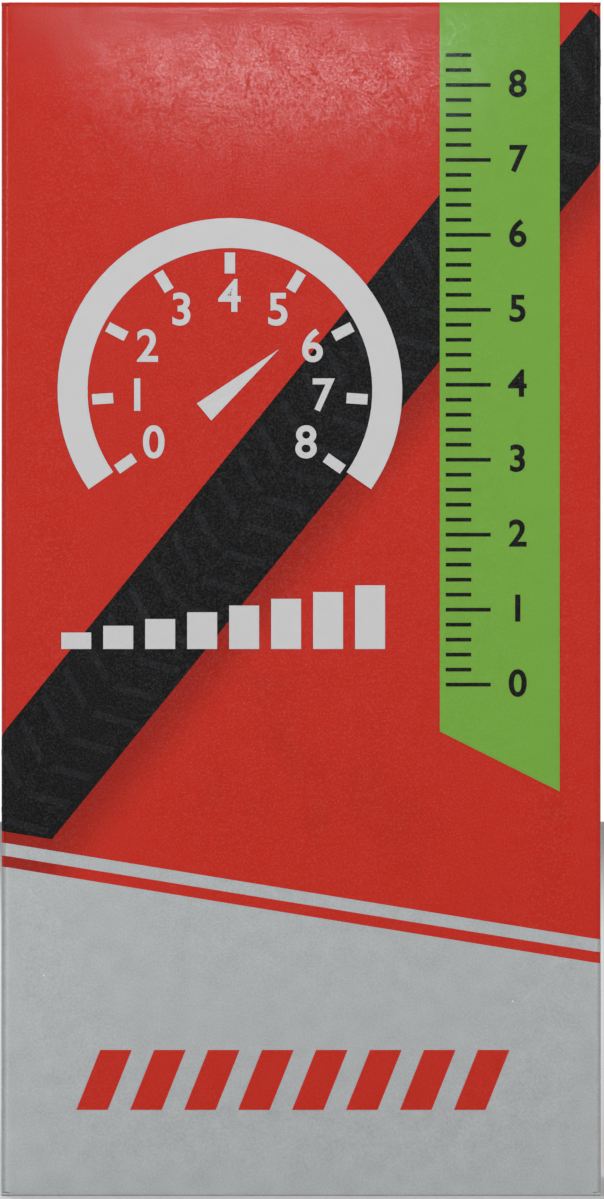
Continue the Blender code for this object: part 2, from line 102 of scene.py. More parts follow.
# Carton details that only show; the upright folds are a little rounder than the solids'
FOLD_RADIUS = 1.0 * MM
HAIRLINE = 0.02 * MM
LID_HALF = WIDTH / 2 - HAIRLINE
LID_BOW = 0.12 * MM
SIDE_SWELL = 0.6  # of the front's swell
NOSE_END = 1.0 * MM
NOSE_ANGLES = (8, 30, 60)
CORNER_TURN = 82.0  # degrees
CREASE_REACH = 1.2 * MM
PANEL_STEPS = 20
FOLD_STEPS = 6
CURVE_STEPS = 8
LID_STEPS = 24
FLAP_CUTS = 9
SHOULDER_STEP = 3.0 * MM
WELD = 1e-7

# Print, in millimetres across and up the front from its lower left corner
INK = 0.02 * MM
INK_GRID = 4.87  # no round figure, so that no cut falls on a printed edge
INK_WELD = 0.001
NUMBER_WEIGHT = 0.02  # how much bolder than the font, of the size
BLEED = 0.3
TOP_MARGIN = 0.55
FOOT_LEFT = 44.0
FOOT_RIGHT = 31.0
STRIPE_GAP = 1.5
STRIPE_WIDTH = 1.7
BARS = 8
BAR_START = (10.0, 11.5)
BAR_PITCH = 7.2
BAR_SIZE = (4.2, 8.0)
BAR_LEAN = 3.2
TRACK_START = (-6.0, 43.0)
TRACK_END = (84.0, 154.0)
TRACK_HALF_WIDTH = 7.0
TRACK_LUG_PITCH = 4.6
GROOVE_WIDTH = 1.1
GROOVE_SWEEP = 2.3
GROOVE_INNER = 0.7
GROOVE_OUTER = 6.0
SHADOW_WIDTH = 7.0
SHADOW_TONE = 0.62  # of the ground, at the track
DIAL_CENTRE = (30.5, 107.5)
DIAL_RADIUS = 23.0
DIAL_ARC_WIDTH = 4.0
DIAL_SWEEP = 250.0
ARC_STEP = 4.0  # degrees
DIAL_MARKS = 8
DIAL_MARK_ENDS = (15.6, 18.4)
DIAL_MARK_HALF = 0.7
DIAL_NUMBER_RADIUS = 12.4
DIAL_NUMBER_SIZE = 6.0
NEEDLE_SHARE = 0.7  # of the sweep
NEEDLE_TIP = 8.6
NEEDLE_TAIL = 4.5
NEEDLE_HALF = 1.5
LEVELS = 8
LEVEL_START = (8.0, 73.0)
LEVEL_PITCH = 5.6
LEVEL_WIDTH = 4.0
LEVEL_LOWEST = 2.2
LEVEL_RISE = 0.9
RULER_LEFT = 58.5
RULER_RIGHT = 74.5
RULER_FOOT = 62.0
RULER_SLANT = 8.0
RULER_MARKS = 43
RULER_ZERO = 68.0
RULER_PITCH = 2.0
RULER_INSET = 0.8
RULER_LONG = 6.0
RULER_SHORT = 3.4
RULER_LINE = 0.5
RULER_NUMBERS = 10.4
RULER_NUMBER_SIZE = 5.0

# How far off the board each print lies, in films of ink
TRACK_LEVEL = 0.5
GROOVE_LEVEL = 2.0
BAR_LEVEL = 2.5
DIAL_LEVEL = 3.5
MARK_LEVEL = 5.0

# Finishes of the board, by name
RED = "varnished red boxboard"
SILVER = "silver metallic ink on boxboard"
GREEN = "green ink on boxboard"
BLACK = "black ink on boxboard"
GROOVE = "dark grey ink on boxboard"
WHITE = "white ink on boxboard"
GREY_BACK = "grey-back chipboard"
CUT_EDGE = "cut chipboard edge"

# Pattern sizes in millimetres. The real paper grain, talc, mould grain and turning marks are finer, and
# are drawn as coarse as they need to be to show.
PAPER_CLOUD = 2.5
PAPER_GRAIN = 0.25
DUST_SPACING = 7.0
DUST_FLECK = 0.126
DUST_SHARE = 0.3  # of the places that could have a fleck
BOARD_FIBRE = 0.5
TALC_BLOOM = 9.0
FLOOR_CLOUD = 300.0
NOISE_RANGE = {"From Min": 0.3, "From Max": 0.7}  # where most of a noise pattern's values lie

# Coat of varnish: its roughness, and its weight where it is thin and where it is thick
VARNISH_ROUGHNESS = 0.1
VARNISH_THIN = 0.21
VARNISH_THICK = 0.462

# Tube and valve details that the solids share
TUBE_THICKNESS = 1.65 * MM
TUBE_LAYERS = 18
ARCH_SHOULDER = 6.0 * MM
BAND_THICKNESS = 0.8 * MM
SPRING_WIRE = 0.15 * MM
SPRING_TURNS = 7

# Tube and valve details that only show
TUBE_WAIST = 0.9  # of the thickness at the beads
MOULD_LINE = 0.1 * MM
TUBE_STEP = 4.0 * MM
WRINKLES_PER_METRE = (90, 400, 140)
BAND_STEP = 3.0 * MM
BAND_BEVEL = 0.2 * MM
BAND_WAVE = 0.5 * MM
BAND_WAVES_PER_METRE = 60

# The valve's round pieces, in millimetres
VALVE_HOLE = 1.5
THREAD_PITCH = 0.794
THREAD_LENGTH = 15.5
THREAD_DEPTH = 0.5


def linear(hex_colour):
    """An sRGB hex colour as the linear values that shaders take."""
    parts = [int(hex_colour[i:i + 2], 16) / 255 for i in (1, 3, 5)]
    return tuple(c / 12.92 if c <= 0.04045 else ((c + 0.055) / 1.055) ** 2.4 for c in parts)


def colour_property(name, description, hex_colour):
    return FloatVectorProperty(
        name=name, description=description, subtype="COLOR", size=3, min=0, max=1,
        default=linear(hex_colour))


class CartonLooks(bpy.types.PropertyGroup):
    """Inks and shape of the carton"""

    red: colour_property("Red ink", "Ground colour of the carton", "#BD291B")
    silver: colour_property("Silver ink", "Metallic ink of the foot", "#A6A9AA")
    green: colour_property("Green ink", "Ruler panel", "#70A33D")
    black: colour_property("Black ink", "Tyre track band", "#0A0A0B")
    white: colour_property("White ink", "Dial and bars", "#C7C7C8")
    swell: FloatProperty(
        name="Panel swell", description="How far the filled carton's front bows out",
        default=0.35 * MM, min=0.0, max=2.0 * MM, unit="LENGTH", precision=5)


class TubeLooks(bpy.types.PropertyGroup):
    """Rubber, talc, band and wrinkles of the folded tube"""

    rubber: colour_property("Butyl", "Colour of the tube under its talc", "#2B2B2D")
    talc: colour_property("Talc", "Dust that keeps the folds from sticking", "#8C8B88")
    band: colour_property("Band", "Elastic band round the bundle", "#B98A55")
    wrinkle: FloatProperty(
        name="Wrinkle", description="Height of the wrinkles in the folded tube",
        default=0.1 * MM, min=0.0, max=0.15 * MM, unit="LENGTH", precision=5)


class StageLooks(bpy.types.PropertyGroup):
    """Camera and lights"""

    distance: FloatProperty(
        name="Camera distance", description="From the printed front to the lens",
        default=1.2, min=0.3, unit="LENGTH")
    softbox: FloatProperty(
        name="Softboxes", description="Power of the soft lights round the object",
        default=7.1, min=0.0, unit="POWER")
    glare: FloatProperty(
        name="Glare lamp", description="Small lamp whose reflection lies near the top of the front",
        default=0.32, min=0.0, unit="POWER")
    ambient: FloatProperty(
        name="Ambient", description="Strength of the even studio light", default=0.22, min=0.0)


# Materials


def feed(tree, node, inputs):
    """Set a node's inputs: a socket is linked, a node gives its first output in use, a value is set."""
    for key, value in inputs.items():
        if isinstance(value, bpy.types.Node):
            value = next(socket for socket in value.outputs if socket.enabled)
        if isinstance(value, bpy.types.NodeSocket):
            tree.links.new(value, node.inputs[key])
        else:
            node.inputs[key].default_value = value


def add(tree, kind, inputs=None, **settings):
    """Add one shader node with its settings and its inputs."""
    made = tree.nodes.new("ShaderNode" + kind)
    for key, value in settings.items():
        setattr(made, key, value)
    feed(tree, made, inputs or {})
    return made


def start_finish(name):
    """A new material with its tree, its Principled shader and the piece's own coordinates."""
    made = bpy.data.materials.new(name)
    made.use_nodes = True
    tree = made.node_tree
    place = add(tree, "TexCoord").outputs["Object"]
    return made, tree, tree.nodes["Principled BSDF"], place


def repeats(size_mm):
    """Texture scale that gives a pattern of this size."""
    return 1 / (size_mm * MM)


def varnished_board(name, colour, metallic=0.0, roughness=0.42, mottle=0.035, painted_sparkle=0.036, shadow=False):
    """Offset-printed white-lined chipboard under dispersion varnish.

    The varnish lies over a fine leathery paper grain, so glare breaks into small sparkles, and flows in
    patches.
    Pale points on the grain's high spots are painted sparkle, a painted highlight mixed into the base
    colour.
    A few flecks of dust lie on it.
    """
    made, tree, shader, place = start_finish(name)
    cloud = add(tree, "TexNoise", {"Vector": place, "Scale": repeats(PAPER_CLOUD), "Detail": 3.0})
    speck = add(tree, "TexNoise", {
        "Vector": place, "Scale": repeats(PAPER_GRAIN), "Detail": 2.0, "Roughness": 0.7})
    blend = add(tree, "Math", {0: cloud, 1: 0.35, 2: speck}, operation="MULTIPLY_ADD")
    tone = add(tree, "MapRange", {
        "Value": blend, "From Min": 0.4, "From Max": 0.95, "To Min": 1 - mottle, "To Max": 1 + mottle})
    ground = add(tree, "VectorMath", {0: colour, "Scale": tone}, operation="SCALE")
    if shadow:
        ground = track_shadow(tree, place, ground)
    # Painted sparkle: pale points on the paper grain's high spots, a painted highlight in the base colour
    points = add(tree, "MapRange", {
        "Value": speck, "From Min": 0.5, "From Max": 0.8, "To Min": 0.0, "To Max": painted_sparkle})
    # Real dust flecks and the painted sparkle share one pale colour mixed over the ground
    dust_and_painted_sparkle = add(tree, "Math", {0: dust_flecks(tree, place), 1: points}, operation="MAXIMUM")
    tint_with_dust_and_painted_sparkle = add(tree, "Mix", {0: dust_and_painted_sparkle, 6: ground, 7: (*linear("#D8CFCC"), 1)}, data_type="RGBA")
    gloss = add(tree, "MapRange", {
        "Value": cloud, **NOISE_RANGE, "To Min": roughness - 0.05, "To Max": roughness + 0.05})
    flow = add(tree, "MapRange", {
        "Value": cloud, **NOISE_RANGE, "To Min": VARNISH_THIN, "To Max": VARNISH_THICK})
    glint = add(tree, "MapRange", {"Value": speck, "From Min": 0.39, "From Max": 0.67})
    film = add(tree, "Math", {0: flow, 1: glint}, operation="MULTIPLY")
    bumps = add(tree, "Bump", {"Height": speck, "Strength": 0.1, "Distance": 0.03 * MM})
    feed(tree, shader, {
        "Base Color": tint_with_dust_and_painted_sparkle, "Normal": bumps, "Roughness": gloss, "Metallic": metallic,
        "Specular IOR Level": 0.06, "Coat Weight": film, "Coat Roughness": VARNISH_ROUGHNESS,
        "Coat Normal": bumps})
    return made


def dust_flecks(tree, place):
    """A few flecks of dust on the varnish: 1 on a fleck and 0 beside it."""
    dust = add(tree, "TexVoronoi", {"Vector": place, "Scale": repeats(DUST_SPACING)}, feature="F1")
    reach = DUST_FLECK / DUST_SPACING
    near = add(tree, "Math", {0: dust.outputs["Distance"], 1: reach}, operation="LESS_THAN")
    parts = add(tree, "SeparateColor", {"Color": dust.outputs["Color"]})
    rare = add(tree, "Math", {0: parts.outputs["Red"], 1: DUST_SHARE}, operation="LESS_THAN")
    return add(tree, "Math", {0: near, 1: rare}, operation="MULTIPLY")


def track_axes():
    """Where the tyre track starts, its direction, the direction across it, and its length."""
    start, end = Vector(TRACK_START), Vector(TRACK_END)
    along = (end - start).normalized()
    return start, along, Vector((along.y, -along.x)), (end - start).length


def track_shadow(tree, place, ground):
    """A printed soft shadow along the lower side of the tyre track, on the front alone."""
    start, _, across, _ = track_axes()
    edge = start + across * TRACK_HALF_WIDTH
    direction = Vector((across.x, 0, across.y))
    offset = (edge.x * MM - WIDTH / 2) * across.x + edge.y * MM * across.y
    run = add(tree, "VectorMath", {0: place, 1: direction}, operation="DOT_PRODUCT")
    fade = add(tree, "MapRange", {
        "Value": run, "From Min": offset, "From Max": offset + SHADOW_WIDTH * MM,
        "To Min": SHADOW_TONE, "To Max": 1.0}, interpolation_type="SMOOTHSTEP")
    axes = add(tree, "SeparateXYZ", {"Vector": place})
    front = add(tree, "Math", {0: axes.outputs["Y"], 1: -DEPTH / 2 + BOARD / 2}, operation="LESS_THAN")
    below = add(tree, "Math", {0: run, 1: offset - TRACK_HALF_WIDTH * MM}, operation="GREATER_THAN")
    there = add(tree, "Math", {0: front, 1: below}, operation="MULTIPLY")
    shade = add(tree, "Mix", {0: there, 2: 1.0, 3: fade}, data_type="FLOAT")
    return add(tree, "VectorMath", {0: ground, "Scale": shade}, operation="SCALE")


def grey_board(name, base, fleck):
    """Uncoated grey-back chipboard: recycled fibre, matt, with darker and lighter flecks."""
    made, tree, shader, place = start_finish(name)
    stretched = add(tree, "Mapping", {"Vector": place, "Scale": (1, 1, 0.35)})
    fibre = add(tree, "TexNoise", {
        "Vector": stretched, "Scale": repeats(BOARD_FIBRE), "Detail": 4.0, "Roughness": 0.7})
    ramp = add(tree, "MapRange", {"Value": fibre, "From Min": 0.4, "From Max": 0.68})
    tint = add(tree, "Mix", {0: ramp, 6: (*linear(base), 1), 7: (*linear(fleck), 1)}, data_type="RGBA")
    bumps = add(tree, "Bump", {"Height": fibre, "Strength": 0.4, "Distance": 0.03 * MM})
    feed(tree, shader, {"Base Color": tint, "Normal": bumps, "Roughness": 0.9, "Specular IOR Level": 0.25})
    return made


def dusted_rubber(name, rubber, dust, cover, grain_mm, roughness):
    """Vulcanised butyl with a bloom of talc, which greys the high spots and kills the gloss."""
    made, tree, shader, place = start_finish(name)
    bloom = add(tree, "TexNoise", {
        "Vector": place, "Scale": repeats(TALC_BLOOM), "Detail": 6.0, "Roughness": 0.65})
    grit = add(tree, "TexNoise", {"Vector": place, "Scale": repeats(grain_mm), "Detail": 2.0})
    both = add(tree, "Math", {0: bloom, 1: grit}, operation="MULTIPLY")
    amount = add(tree, "MapRange", {
        "Value": both, "From Min": 0.15, "From Max": 0.45, "To Min": 0.0, "To Max": cover})
    tint = add(tree, "Mix", {0: amount, 6: (*rubber, 1), 7: (*dust, 1)}, data_type="RGBA")
    bumps = add(tree, "Bump", {"Height": grit, "Strength": 0.35, "Distance": 0.05 * MM})
    feed(tree, shader, {"Base Color": tint, "Normal": bumps, "Roughness": roughness, "IOR": 1.52})
    return made


def plated_metal(name, colour, roughness, streak_mm):
    """Nickel plate on turned metal: fine turning marks round the axis, bright and slightly worn."""
    made, tree, shader, place = start_finish(name)
    rings = add(tree, "Mapping", {"Vector": place, "Scale": (0.15, 0.15, 1.0)})
    streak = add(tree, "TexNoise", {"Vector": rings, "Scale": repeats(streak_mm), "Detail": 3.0})
    gloss = add(tree, "MapRange", {
        "Value": streak, **NOISE_RANGE, "To Min": roughness * 0.7, "To Max": roughness * 1.4})
    tone = add(tree, "MapRange", {"Value": streak, **NOISE_RANGE, "To Min": 0.9, "To Max": 1.05})
    tint = add(tree, "VectorMath", {0: colour, "Scale": tone}, operation="SCALE")
    feed(tree, shader, {"Base Color": tint, "Roughness": gloss, "Metallic": 1.0})
    return made


def moulded_plastic(name, colour, roughness, grain_mm):
    """Injection-moulded plastic: even colour, fine spark-eroded grain, soft satin gloss."""
    made, tree, shader, place = start_finish(name)
    grain = add(tree, "TexNoise", {"Vector": place, "Scale": repeats(grain_mm), "Detail": 2.0})
    tone = add(tree, "MapRange", {"Value": grain, **NOISE_RANGE, "To Min": 0.92, "To Max": 1.08})
    tint = add(tree, "VectorMath", {0: colour, "Scale": tone}, operation="SCALE")
    bumps = add(tree, "Bump", {"Height": grain, "Strength": 0.25, "Distance": 0.02 * MM})
    feed(tree, shader, {"Base Color": tint, "Normal": bumps, "Roughness": roughness})
    return made


def make_board_finishes(looks):
    """Make the inks and the bare faces of the board, which pieces then take by name."""
    varnished_board(RED, looks.red, shadow=True)
    varnished_board(SILVER, looks.silver, metallic=0.35, roughness=0.46, mottle=0.14)
    varnished_board(GREEN, looks.green, mottle=0.04)
    varnished_board(BLACK, looks.black, mottle=0.03, painted_sparkle=0.02)
    varnished_board(GROOVE, linear("#17181A"), mottle=0.03, painted_sparkle=0.02)
    varnished_board(WHITE, looks.white, mottle=0.02)
    grey_board(GREY_BACK, "#A79F93", "#8A8278")
    grey_board(CUT_EDGE, "#C9BFB4", "#9D9388")


def finishes(*names):
    """Materials by name, in the order of a piece's face groups."""
    return [bpy.data.materials[name] for name in names]


# Meshes


def make_piece(name, bm, materials, sharp=35.0):
    """Turn a bmesh into a named piece with smooth shading and its materials."""
    bmesh.ops.recalc_face_normals(bm, faces=bm.faces)
    mesh = bpy.data.meshes.new(name)
    bm.to_mesh(mesh)
    bm.free()
    mesh.shade_smooth()
    mesh.set_sharp_from_angle(angle=math.radians(sharp))
    for material in materials:
        mesh.materials.append(material)
    made = bpy.data.objects.new(name, mesh)
    bpy.context.scene.collection.objects.link(made)
    return made


def dress(name, bm, materials, body, slot, *nodes, sharp=35.0):
    """Make a piece that rides on its body and stands for its solids; the slot is not used."""
    piece = make_piece(name, bm, materials, sharp)
    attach(piece, body)
    if nodes:
        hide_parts(*nodes)
    return piece


def board_sheet(rows, columns, lifts, at):
    """A closed sheet of board, with a point at each row, column and lift, the outer lift first.

    Its faces are outside, inside or cut edge.
    """
    bm = bmesh.new()
    skins = [[[bm.verts.new(at(row, column, lift)) for column in columns] for row in rows] for lift in lifts]
    last_row, last_column = len(rows) - 1, len(columns) - 1
    for index, skin in enumerate(skins):
        for i in range(last_row):
            for j in range(last_column):
                corners = (skin[i][j], skin[i + 1][j], skin[i + 1][j + 1], skin[i][j + 1])
                bm.faces.new(corners).material_index = index
    rim = [(i, 0) for i in range(last_row)]
    rim += [(last_row, j) for j in range(last_column)]
    rim += [(i, last_column) for i in range(last_row, 0, -1)]
    rim += [(0, j) for j in range(last_column, 0, -1)]
    for (a, b), (c, d) in zip(rim, rim[1:] + rim[:1]):
        edge = (skins[0][a][b], skins[0][c][d], skins[1][c][d], skins[1][a][b])
        bm.faces.new(edge).material_index = 2
    return bm


def ring_mesh(rings, ring_closed=True, row_closed=True):
    """Skin a row of rings; points that fall together are welded."""
    bm = bmesh.new()
    rows = [[bm.verts.new(point) for point in ring] for ring in rings]
    size = len(rings[0])
    for near, far in zip(rows, rows[1:] + (rows[:1] if row_closed else [])):
        for i in range(size if ring_closed else size - 1):
            j = (i + 1) % size
            bm.faces.new((near[i], near[j], far[j], far[i]))
    bmesh.ops.remove_doubles(bm, verts=bm.verts, dist=WELD)
    return bm


def ray(angle):
    """A level direction, by its angle from x."""
    return Vector((math.cos(angle), math.sin(angle), 0))


def turned(profile, centre, sides, ridge, on_axis=False):
    """Turn a (radius, height) profile in millimetres about an upright axis; ridge moves a radius."""
    rings = []
    for i in range(sides):
        angle = 2 * math.pi * i / sides
        ring = []
        for radius, height in profile:
            far = ridge(angle, radius, height)
            ring.append(centre + (ray(angle) * far + UP * height) * MM)
        rings.append(ring)
    return ring_mesh(rings, ring_closed=not on_axis)


def arc(centre, radius, start, end, steps):
    """Points on an arc, angles in degrees."""
    angles = [math.radians(start + (end - start) * i / steps) for i in range(steps + 1)]
    return [(centre[0] + radius * math.cos(a), centre[1] + radius * math.sin(a)) for a in angles]


def walk(loop, spacing):
    """Points along a closed line, about this far apart, each with the line's direction there."""
    points = []
    for a, b in zip(loop, loop[1:] + loop[:1]):
        a, b = Vector(a), Vector(b)
        count = max(1, round((b - a).length / spacing))
        points += [a.lerp(b, k / count) for k in range(count)]
    for i, point in enumerate(points):
        yield point, (points[(i + 1) % len(points)] - points[i - 1]).normalized()


# Carton


def crown(share):
    """A flat-topped swell: 1 in the middle of a panel and 0 at its two edges."""
    return 1 - abs(2 * share - 1) ** 4


class Station:
    """One upright line of the folded strip, seen from above, with its two ends."""

    def __init__(self, point, normal, inset, swell, on_glue_flap):
        self.on_glue_flap = on_glue_flap
        self.point = point
        self.normal = normal
        self.low = inset
        self.high = HEIGHT - inset
        self.swell = swell

    def at(self, height, lift):
        """The point at a height, lifted off the board's middle plane."""
        share = min(max((height - self.low) / (self.high - self.low), 0), 1)
        out = self.point + self.normal * (lift + self.swell * crown(share))
        return Vector((out.x, out.y, height))


def strip_corners(swell):
    """Corners of the folded strip from above, each with the inset and swell of the panel after it."""
    half_w = WIDTH / 2 - BOARD / 2
    half_d = DEPTH / 2 - BOARD / 2
    seam = -WIDTH / 2 + 1.5 * BOARD + BOARD_GAP
    front = BOARD + HAIRLINE
    side = DUST_FLAP_DROP + HAIRLINE
    return [
        (Vector((-half_w, DEPTH / 2)), side, swell * SIDE_SWELL),
        (Vector((-half_w, -half_d)), front, swell),
        (Vector((half_w, -half_d)), side, swell * SIDE_SWELL),
        (Vector((half_w, half_d)), 0.0, swell),
        (Vector((seam, half_d)), side + GLUE_FLAP_END, 0.0),
        (Vector((seam, half_d - GLUE_FLAP_WIDTH)), 0.0, 0.0),
    ]


def sleeve_stations(swell):
    """Stations round the strip: left, front, right and back panels, and the glue flap."""
    legs = strip_corners(swell)
    bend = FOLD_RADIUS - BOARD / 2
    stations = []
    for i in range(len(legs) - 1):
        start, inset, bow = legs[i]
        end = legs[i + 1][0]
        along = (end - start).normalized()
        normal = Vector((along.y, -along.x))
        first = start if i == 0 else start + along * bend
        last_leg = i == len(legs) - 2
        last = end if last_leg else end - along * bend
        for k in range(PANEL_STEPS + 1):
            share = (1 - math.cos(math.pi * k / PANEL_STEPS)) / 2
            stations.append(Station(first.lerp(last, share), normal, inset, bow * crown(share), last_leg))
        if last_leg:
            break
        next_along = (legs[i + 2][0] - end).normalized()
        next_normal = Vector((next_along.y, -next_along.x))
        centre = last + next_along * bend
        longer = min(inset, legs[i + 1][1])
        for k in range(1, FOLD_STEPS):
            angle = math.pi / 2 * k / FOLD_STEPS
            out = normal * math.cos(angle) + next_normal * math.sin(angle)
            stations.append(Station(centre + out * bend, out, longer, 0.0, False))
    return stations


def sheet_between(stations, low_of, high_of, inner_lift, outer_lift, rows):
    """A closed sheet over stations, between two heights at each."""

    def at(station, share, lift):
        low, high = low_of(station), high_of(station)
        return station.at(low + (high - low) * share, lift)

    return board_sheet(stations, np.linspace(0, 1, rows + 1), (outer_lift, inner_lift), at)


def foot_height(station, above_mm=0.0):
    """Upper edge of the silver foot: a slanted plane right round the carton."""
    share = station.point.x / WIDTH + 0.5
    return (FOOT_LEFT + (FOOT_RIGHT - FOOT_LEFT) * share + above_mm) * MM


def silver_film(name, stations, low_of, high_of, rows):
    """A film of silver ink right round the sleeve."""
    skin = BOARD / 2 + INK / 2
    bm = sheet_between(stations, low_of, high_of, skin, skin + INK, rows)
    dress(name, bm, finishes(SILVER) * 3, "carton", "printed_board")


class BuildSleeve(bpy.types.Operator):
    """Fold the printed sleeve, with its glued seam and the silver foot round it"""

    bl_idname = "boxed_tube.sleeve"
    bl_label = "Carton sleeve"

    def execute(self, context):
        looks = context.scene.boxed_tube_carton
        make_board_finishes(looks)
        stations = sleeve_stations(looks.swell)
        bm = sheet_between(stations, lambda s: s.low, lambda s: s.high, -BOARD / 2, BOARD / 2, rows=40)
        faces = finishes(RED, GREY_BACK, CUT_EDGE)
        dress("sleeve_board", bm, faces, "carton", "printed_board", "carton_sleeve")
        outside = [station for station in stations if not station.on_glue_flap]
        silver_film("silver_foot", outside, lambda s: s.low, foot_height, rows=10)
        silver_film(
            "silver_stripe", outside, lambda s: foot_height(s, STRIPE_GAP),
            lambda s: foot_height(s, STRIPE_GAP + STRIPE_WIDTH), rows=2)
        return {"FINISHED"}


def flap_board(joint, along, hinge, outside, length, low_edge, high_edge, corner=0.0, bow=0.0):
    """A flap of board from a rounded nose on its crease: edges are functions of the distance out."""
    origin = Vector(joint["pos_m"])
    along, hinge, outside = (Vector(v).normalized() for v in (along, hinge, outside))
    half = BOARD / 2
    turns = [math.radians(angle) for angle in NOSE_ANGLES]
    stops = [(-half * math.cos(turn), half * math.sin(turn), 0.0) for turn in turns]
    straight = length - corner
    shoulder_cuts = (DUST_REAR_SHOULDER, DUST_REAR_SHOULDER + SHOULDER_STEP)
    marks = {0.0, *shoulder_cuts, *np.linspace(0, straight, FLAP_CUTS)}
    stops += [(mark, half, 0.0) for mark in sorted(marks) if mark <= straight]
    for k in range(1, (CURVE_STEPS if corner else 0) + 1):
        turn = math.radians(CORNER_TURN * k / CURVE_STEPS)
        stops.append((straight + corner * math.sin(turn), half, corner * (1 - math.cos(turn))))
    end = NOSE_END / (high_edge(0.0) - low_edge(0.0))
    columns = [0.0, end, *np.linspace(0.1, 0.9, FLAP_CUTS), 1 - end, 1.0]

    def at(stop, part, side):
        distance, thick, pull = stop
        reach = max(distance, 0.0)
        low, high = low_edge(reach) + pull, high_edge(reach) - pull
        lift = bow * crown(min(reach / length, 1.0)) * crown(part) + side * thick
        return origin + along * distance + hinge * (low + (high - low) * part) + outside * lift

    bm = board_sheet(stops, columns, (1, -1), at)
    print_nose(bm, origin, along, hinge, low_edge(0.0) + NOSE_END, high_edge(0.0) - NOSE_END)
    return bm


def print_nose(bm, origin, along, hinge, low, high):
    """Give the nose's edge, and its ends beyond low and high, the printed face's finish."""
    for face in bm.faces:
        spot = face.calc_center_median() - origin
        at_end = not low < spot.dot(hinge) < high
        if spot.dot(along) < 0 and (face.material_index == 2 or at_end):
            face.material_index = 0


def crease_skin(name, joint, hinge, span, near, far, materials, stripe=None):
    """The printed skin over a crease, bent between two boards: each is (body, run, facing).

    Both ends run in under the swell of the panels. A stripe is the part that takes the second finish.
    """
    axis = Vector(joint["pos_m"])
    hinge = Vector(hinge)
    (near_body, near_run, near_face), (far_body, far_run, far_face) = near, far
    near_run, near_face, far_run, far_face = (Vector(v) for v in (near_run, near_face, far_run, far_face))
    cuts = sorted({*np.linspace(*span, FLAP_CUTS), *(stripe or ())})
    turn = near_face.rotation_difference(far_face)
    spine = [(near_face, near_run * CREASE_REACH * share) for share in (1.0, 0.5)]
    for k in range(CURVE_STEPS + 1):
        bend = Quaternion(turn.axis, turn.angle * k / CURVE_STEPS)
        spine.append((bend @ near_face, Vector()))
    spine += [(far_face, far_run * CREASE_REACH * share) for share in (0.5, 1.0)]

    def at(stop, across, lift):
        facing, offset = stop
        return axis + facing * (BOARD / 2 + lift) + offset + hinge * across

    bm = board_sheet(spine, cuts, (INK, INK / 4), at)
    for face in bm.faces:
        across = face.calc_center_median().dot(hinge)
        face.material_index = 1 if stripe and stripe[0] < across < stripe[1] else 0
    skin = make_piece(name, bm, materials)
    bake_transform(skin)


def lid_and_tuck(end, up, inks, stripe):
    """A lid on its crease, and the tuck that folds from it."""
    lid, tuck = f"{end}_lid", f"{end}_tuck"
    lid_joint, tuck_joint = JOINTS[f"{lid}_hinge"], JOINTS[f"{tuck}_fold"]
    faces = [inks[0], *finishes(GREY_BACK, CUT_EDGE)]
    length = tuck_joint["pos_m"][1] - lid_joint["pos_m"][1] - BOARD / 2 - HAIRLINE
    bm = flap_board(
        lid_joint, (0, 1, 0), (1, 0, 0), (0, 0, up), length,
        lambda s: -LID_HALF, lambda s: LID_HALF, bow=LID_BOW)
    dress(f"{lid}_board", bm, faces, lid, "printed_board", lid)
    crease_skin(
        f"{lid}_crease", lid_joint, (1, 0, 0), (FOLD_RADIUS - WIDTH / 2, WIDTH / 2 - FOLD_RADIUS),
        ("carton", (0, 0, -up), (0, -1, 0)), (lid, (0, 1, 0), (0, 0, up)), inks, stripe)
    half_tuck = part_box(tuck)[1].x
    lean = Vector((0, -math.sin(TUCK_LEAN), -up * math.cos(TUCK_LEAN)))
    facing = Vector((0, math.cos(TUCK_LEAN), -up * math.sin(TUCK_LEAN)))
    bm = flap_board(
        tuck_joint, lean, (1, 0, 0), facing, TUCK_LENGTH,
        lambda s: -half_tuck, lambda s: half_tuck, corner=TUCK_CORNER)
    dress(f"{tuck}_board", bm, faces, tuck, "printed_board", tuck)
    crease_skin(
        f"{tuck}_crease", tuck_joint, (1, 0, 0), (-half_tuck, half_tuck),
        (lid, (0, -1, 0), (0, 0, up)), (tuck, lean, facing), inks, stripe)
    if stripe:
        lid_stripe(Vector(lid_joint["pos_m"]), length, stripe, inks[1])


def lid_stripe(crease, length, stripe, ink):
    """The ruler panel's green goes on over the lid."""
    reaches = np.linspace(CREASE_REACH / 2, length - CREASE_REACH / 2, LID_STEPS + 1)

    def at(reach, x, lift):
        bow = LID_BOW * crown(reach / length) * crown((x + LID_HALF) / (2 * LID_HALF))
        return Vector((x, crease.y + reach, crease.z + BOARD / 2 + lift + bow))

    bm = board_sheet(reaches, np.linspace(*stripe, FLAP_CUTS), (2 * INK, INK), at)
    dress("lid_stripe", bm, [ink] * 3, "top_lid", "printed_board")


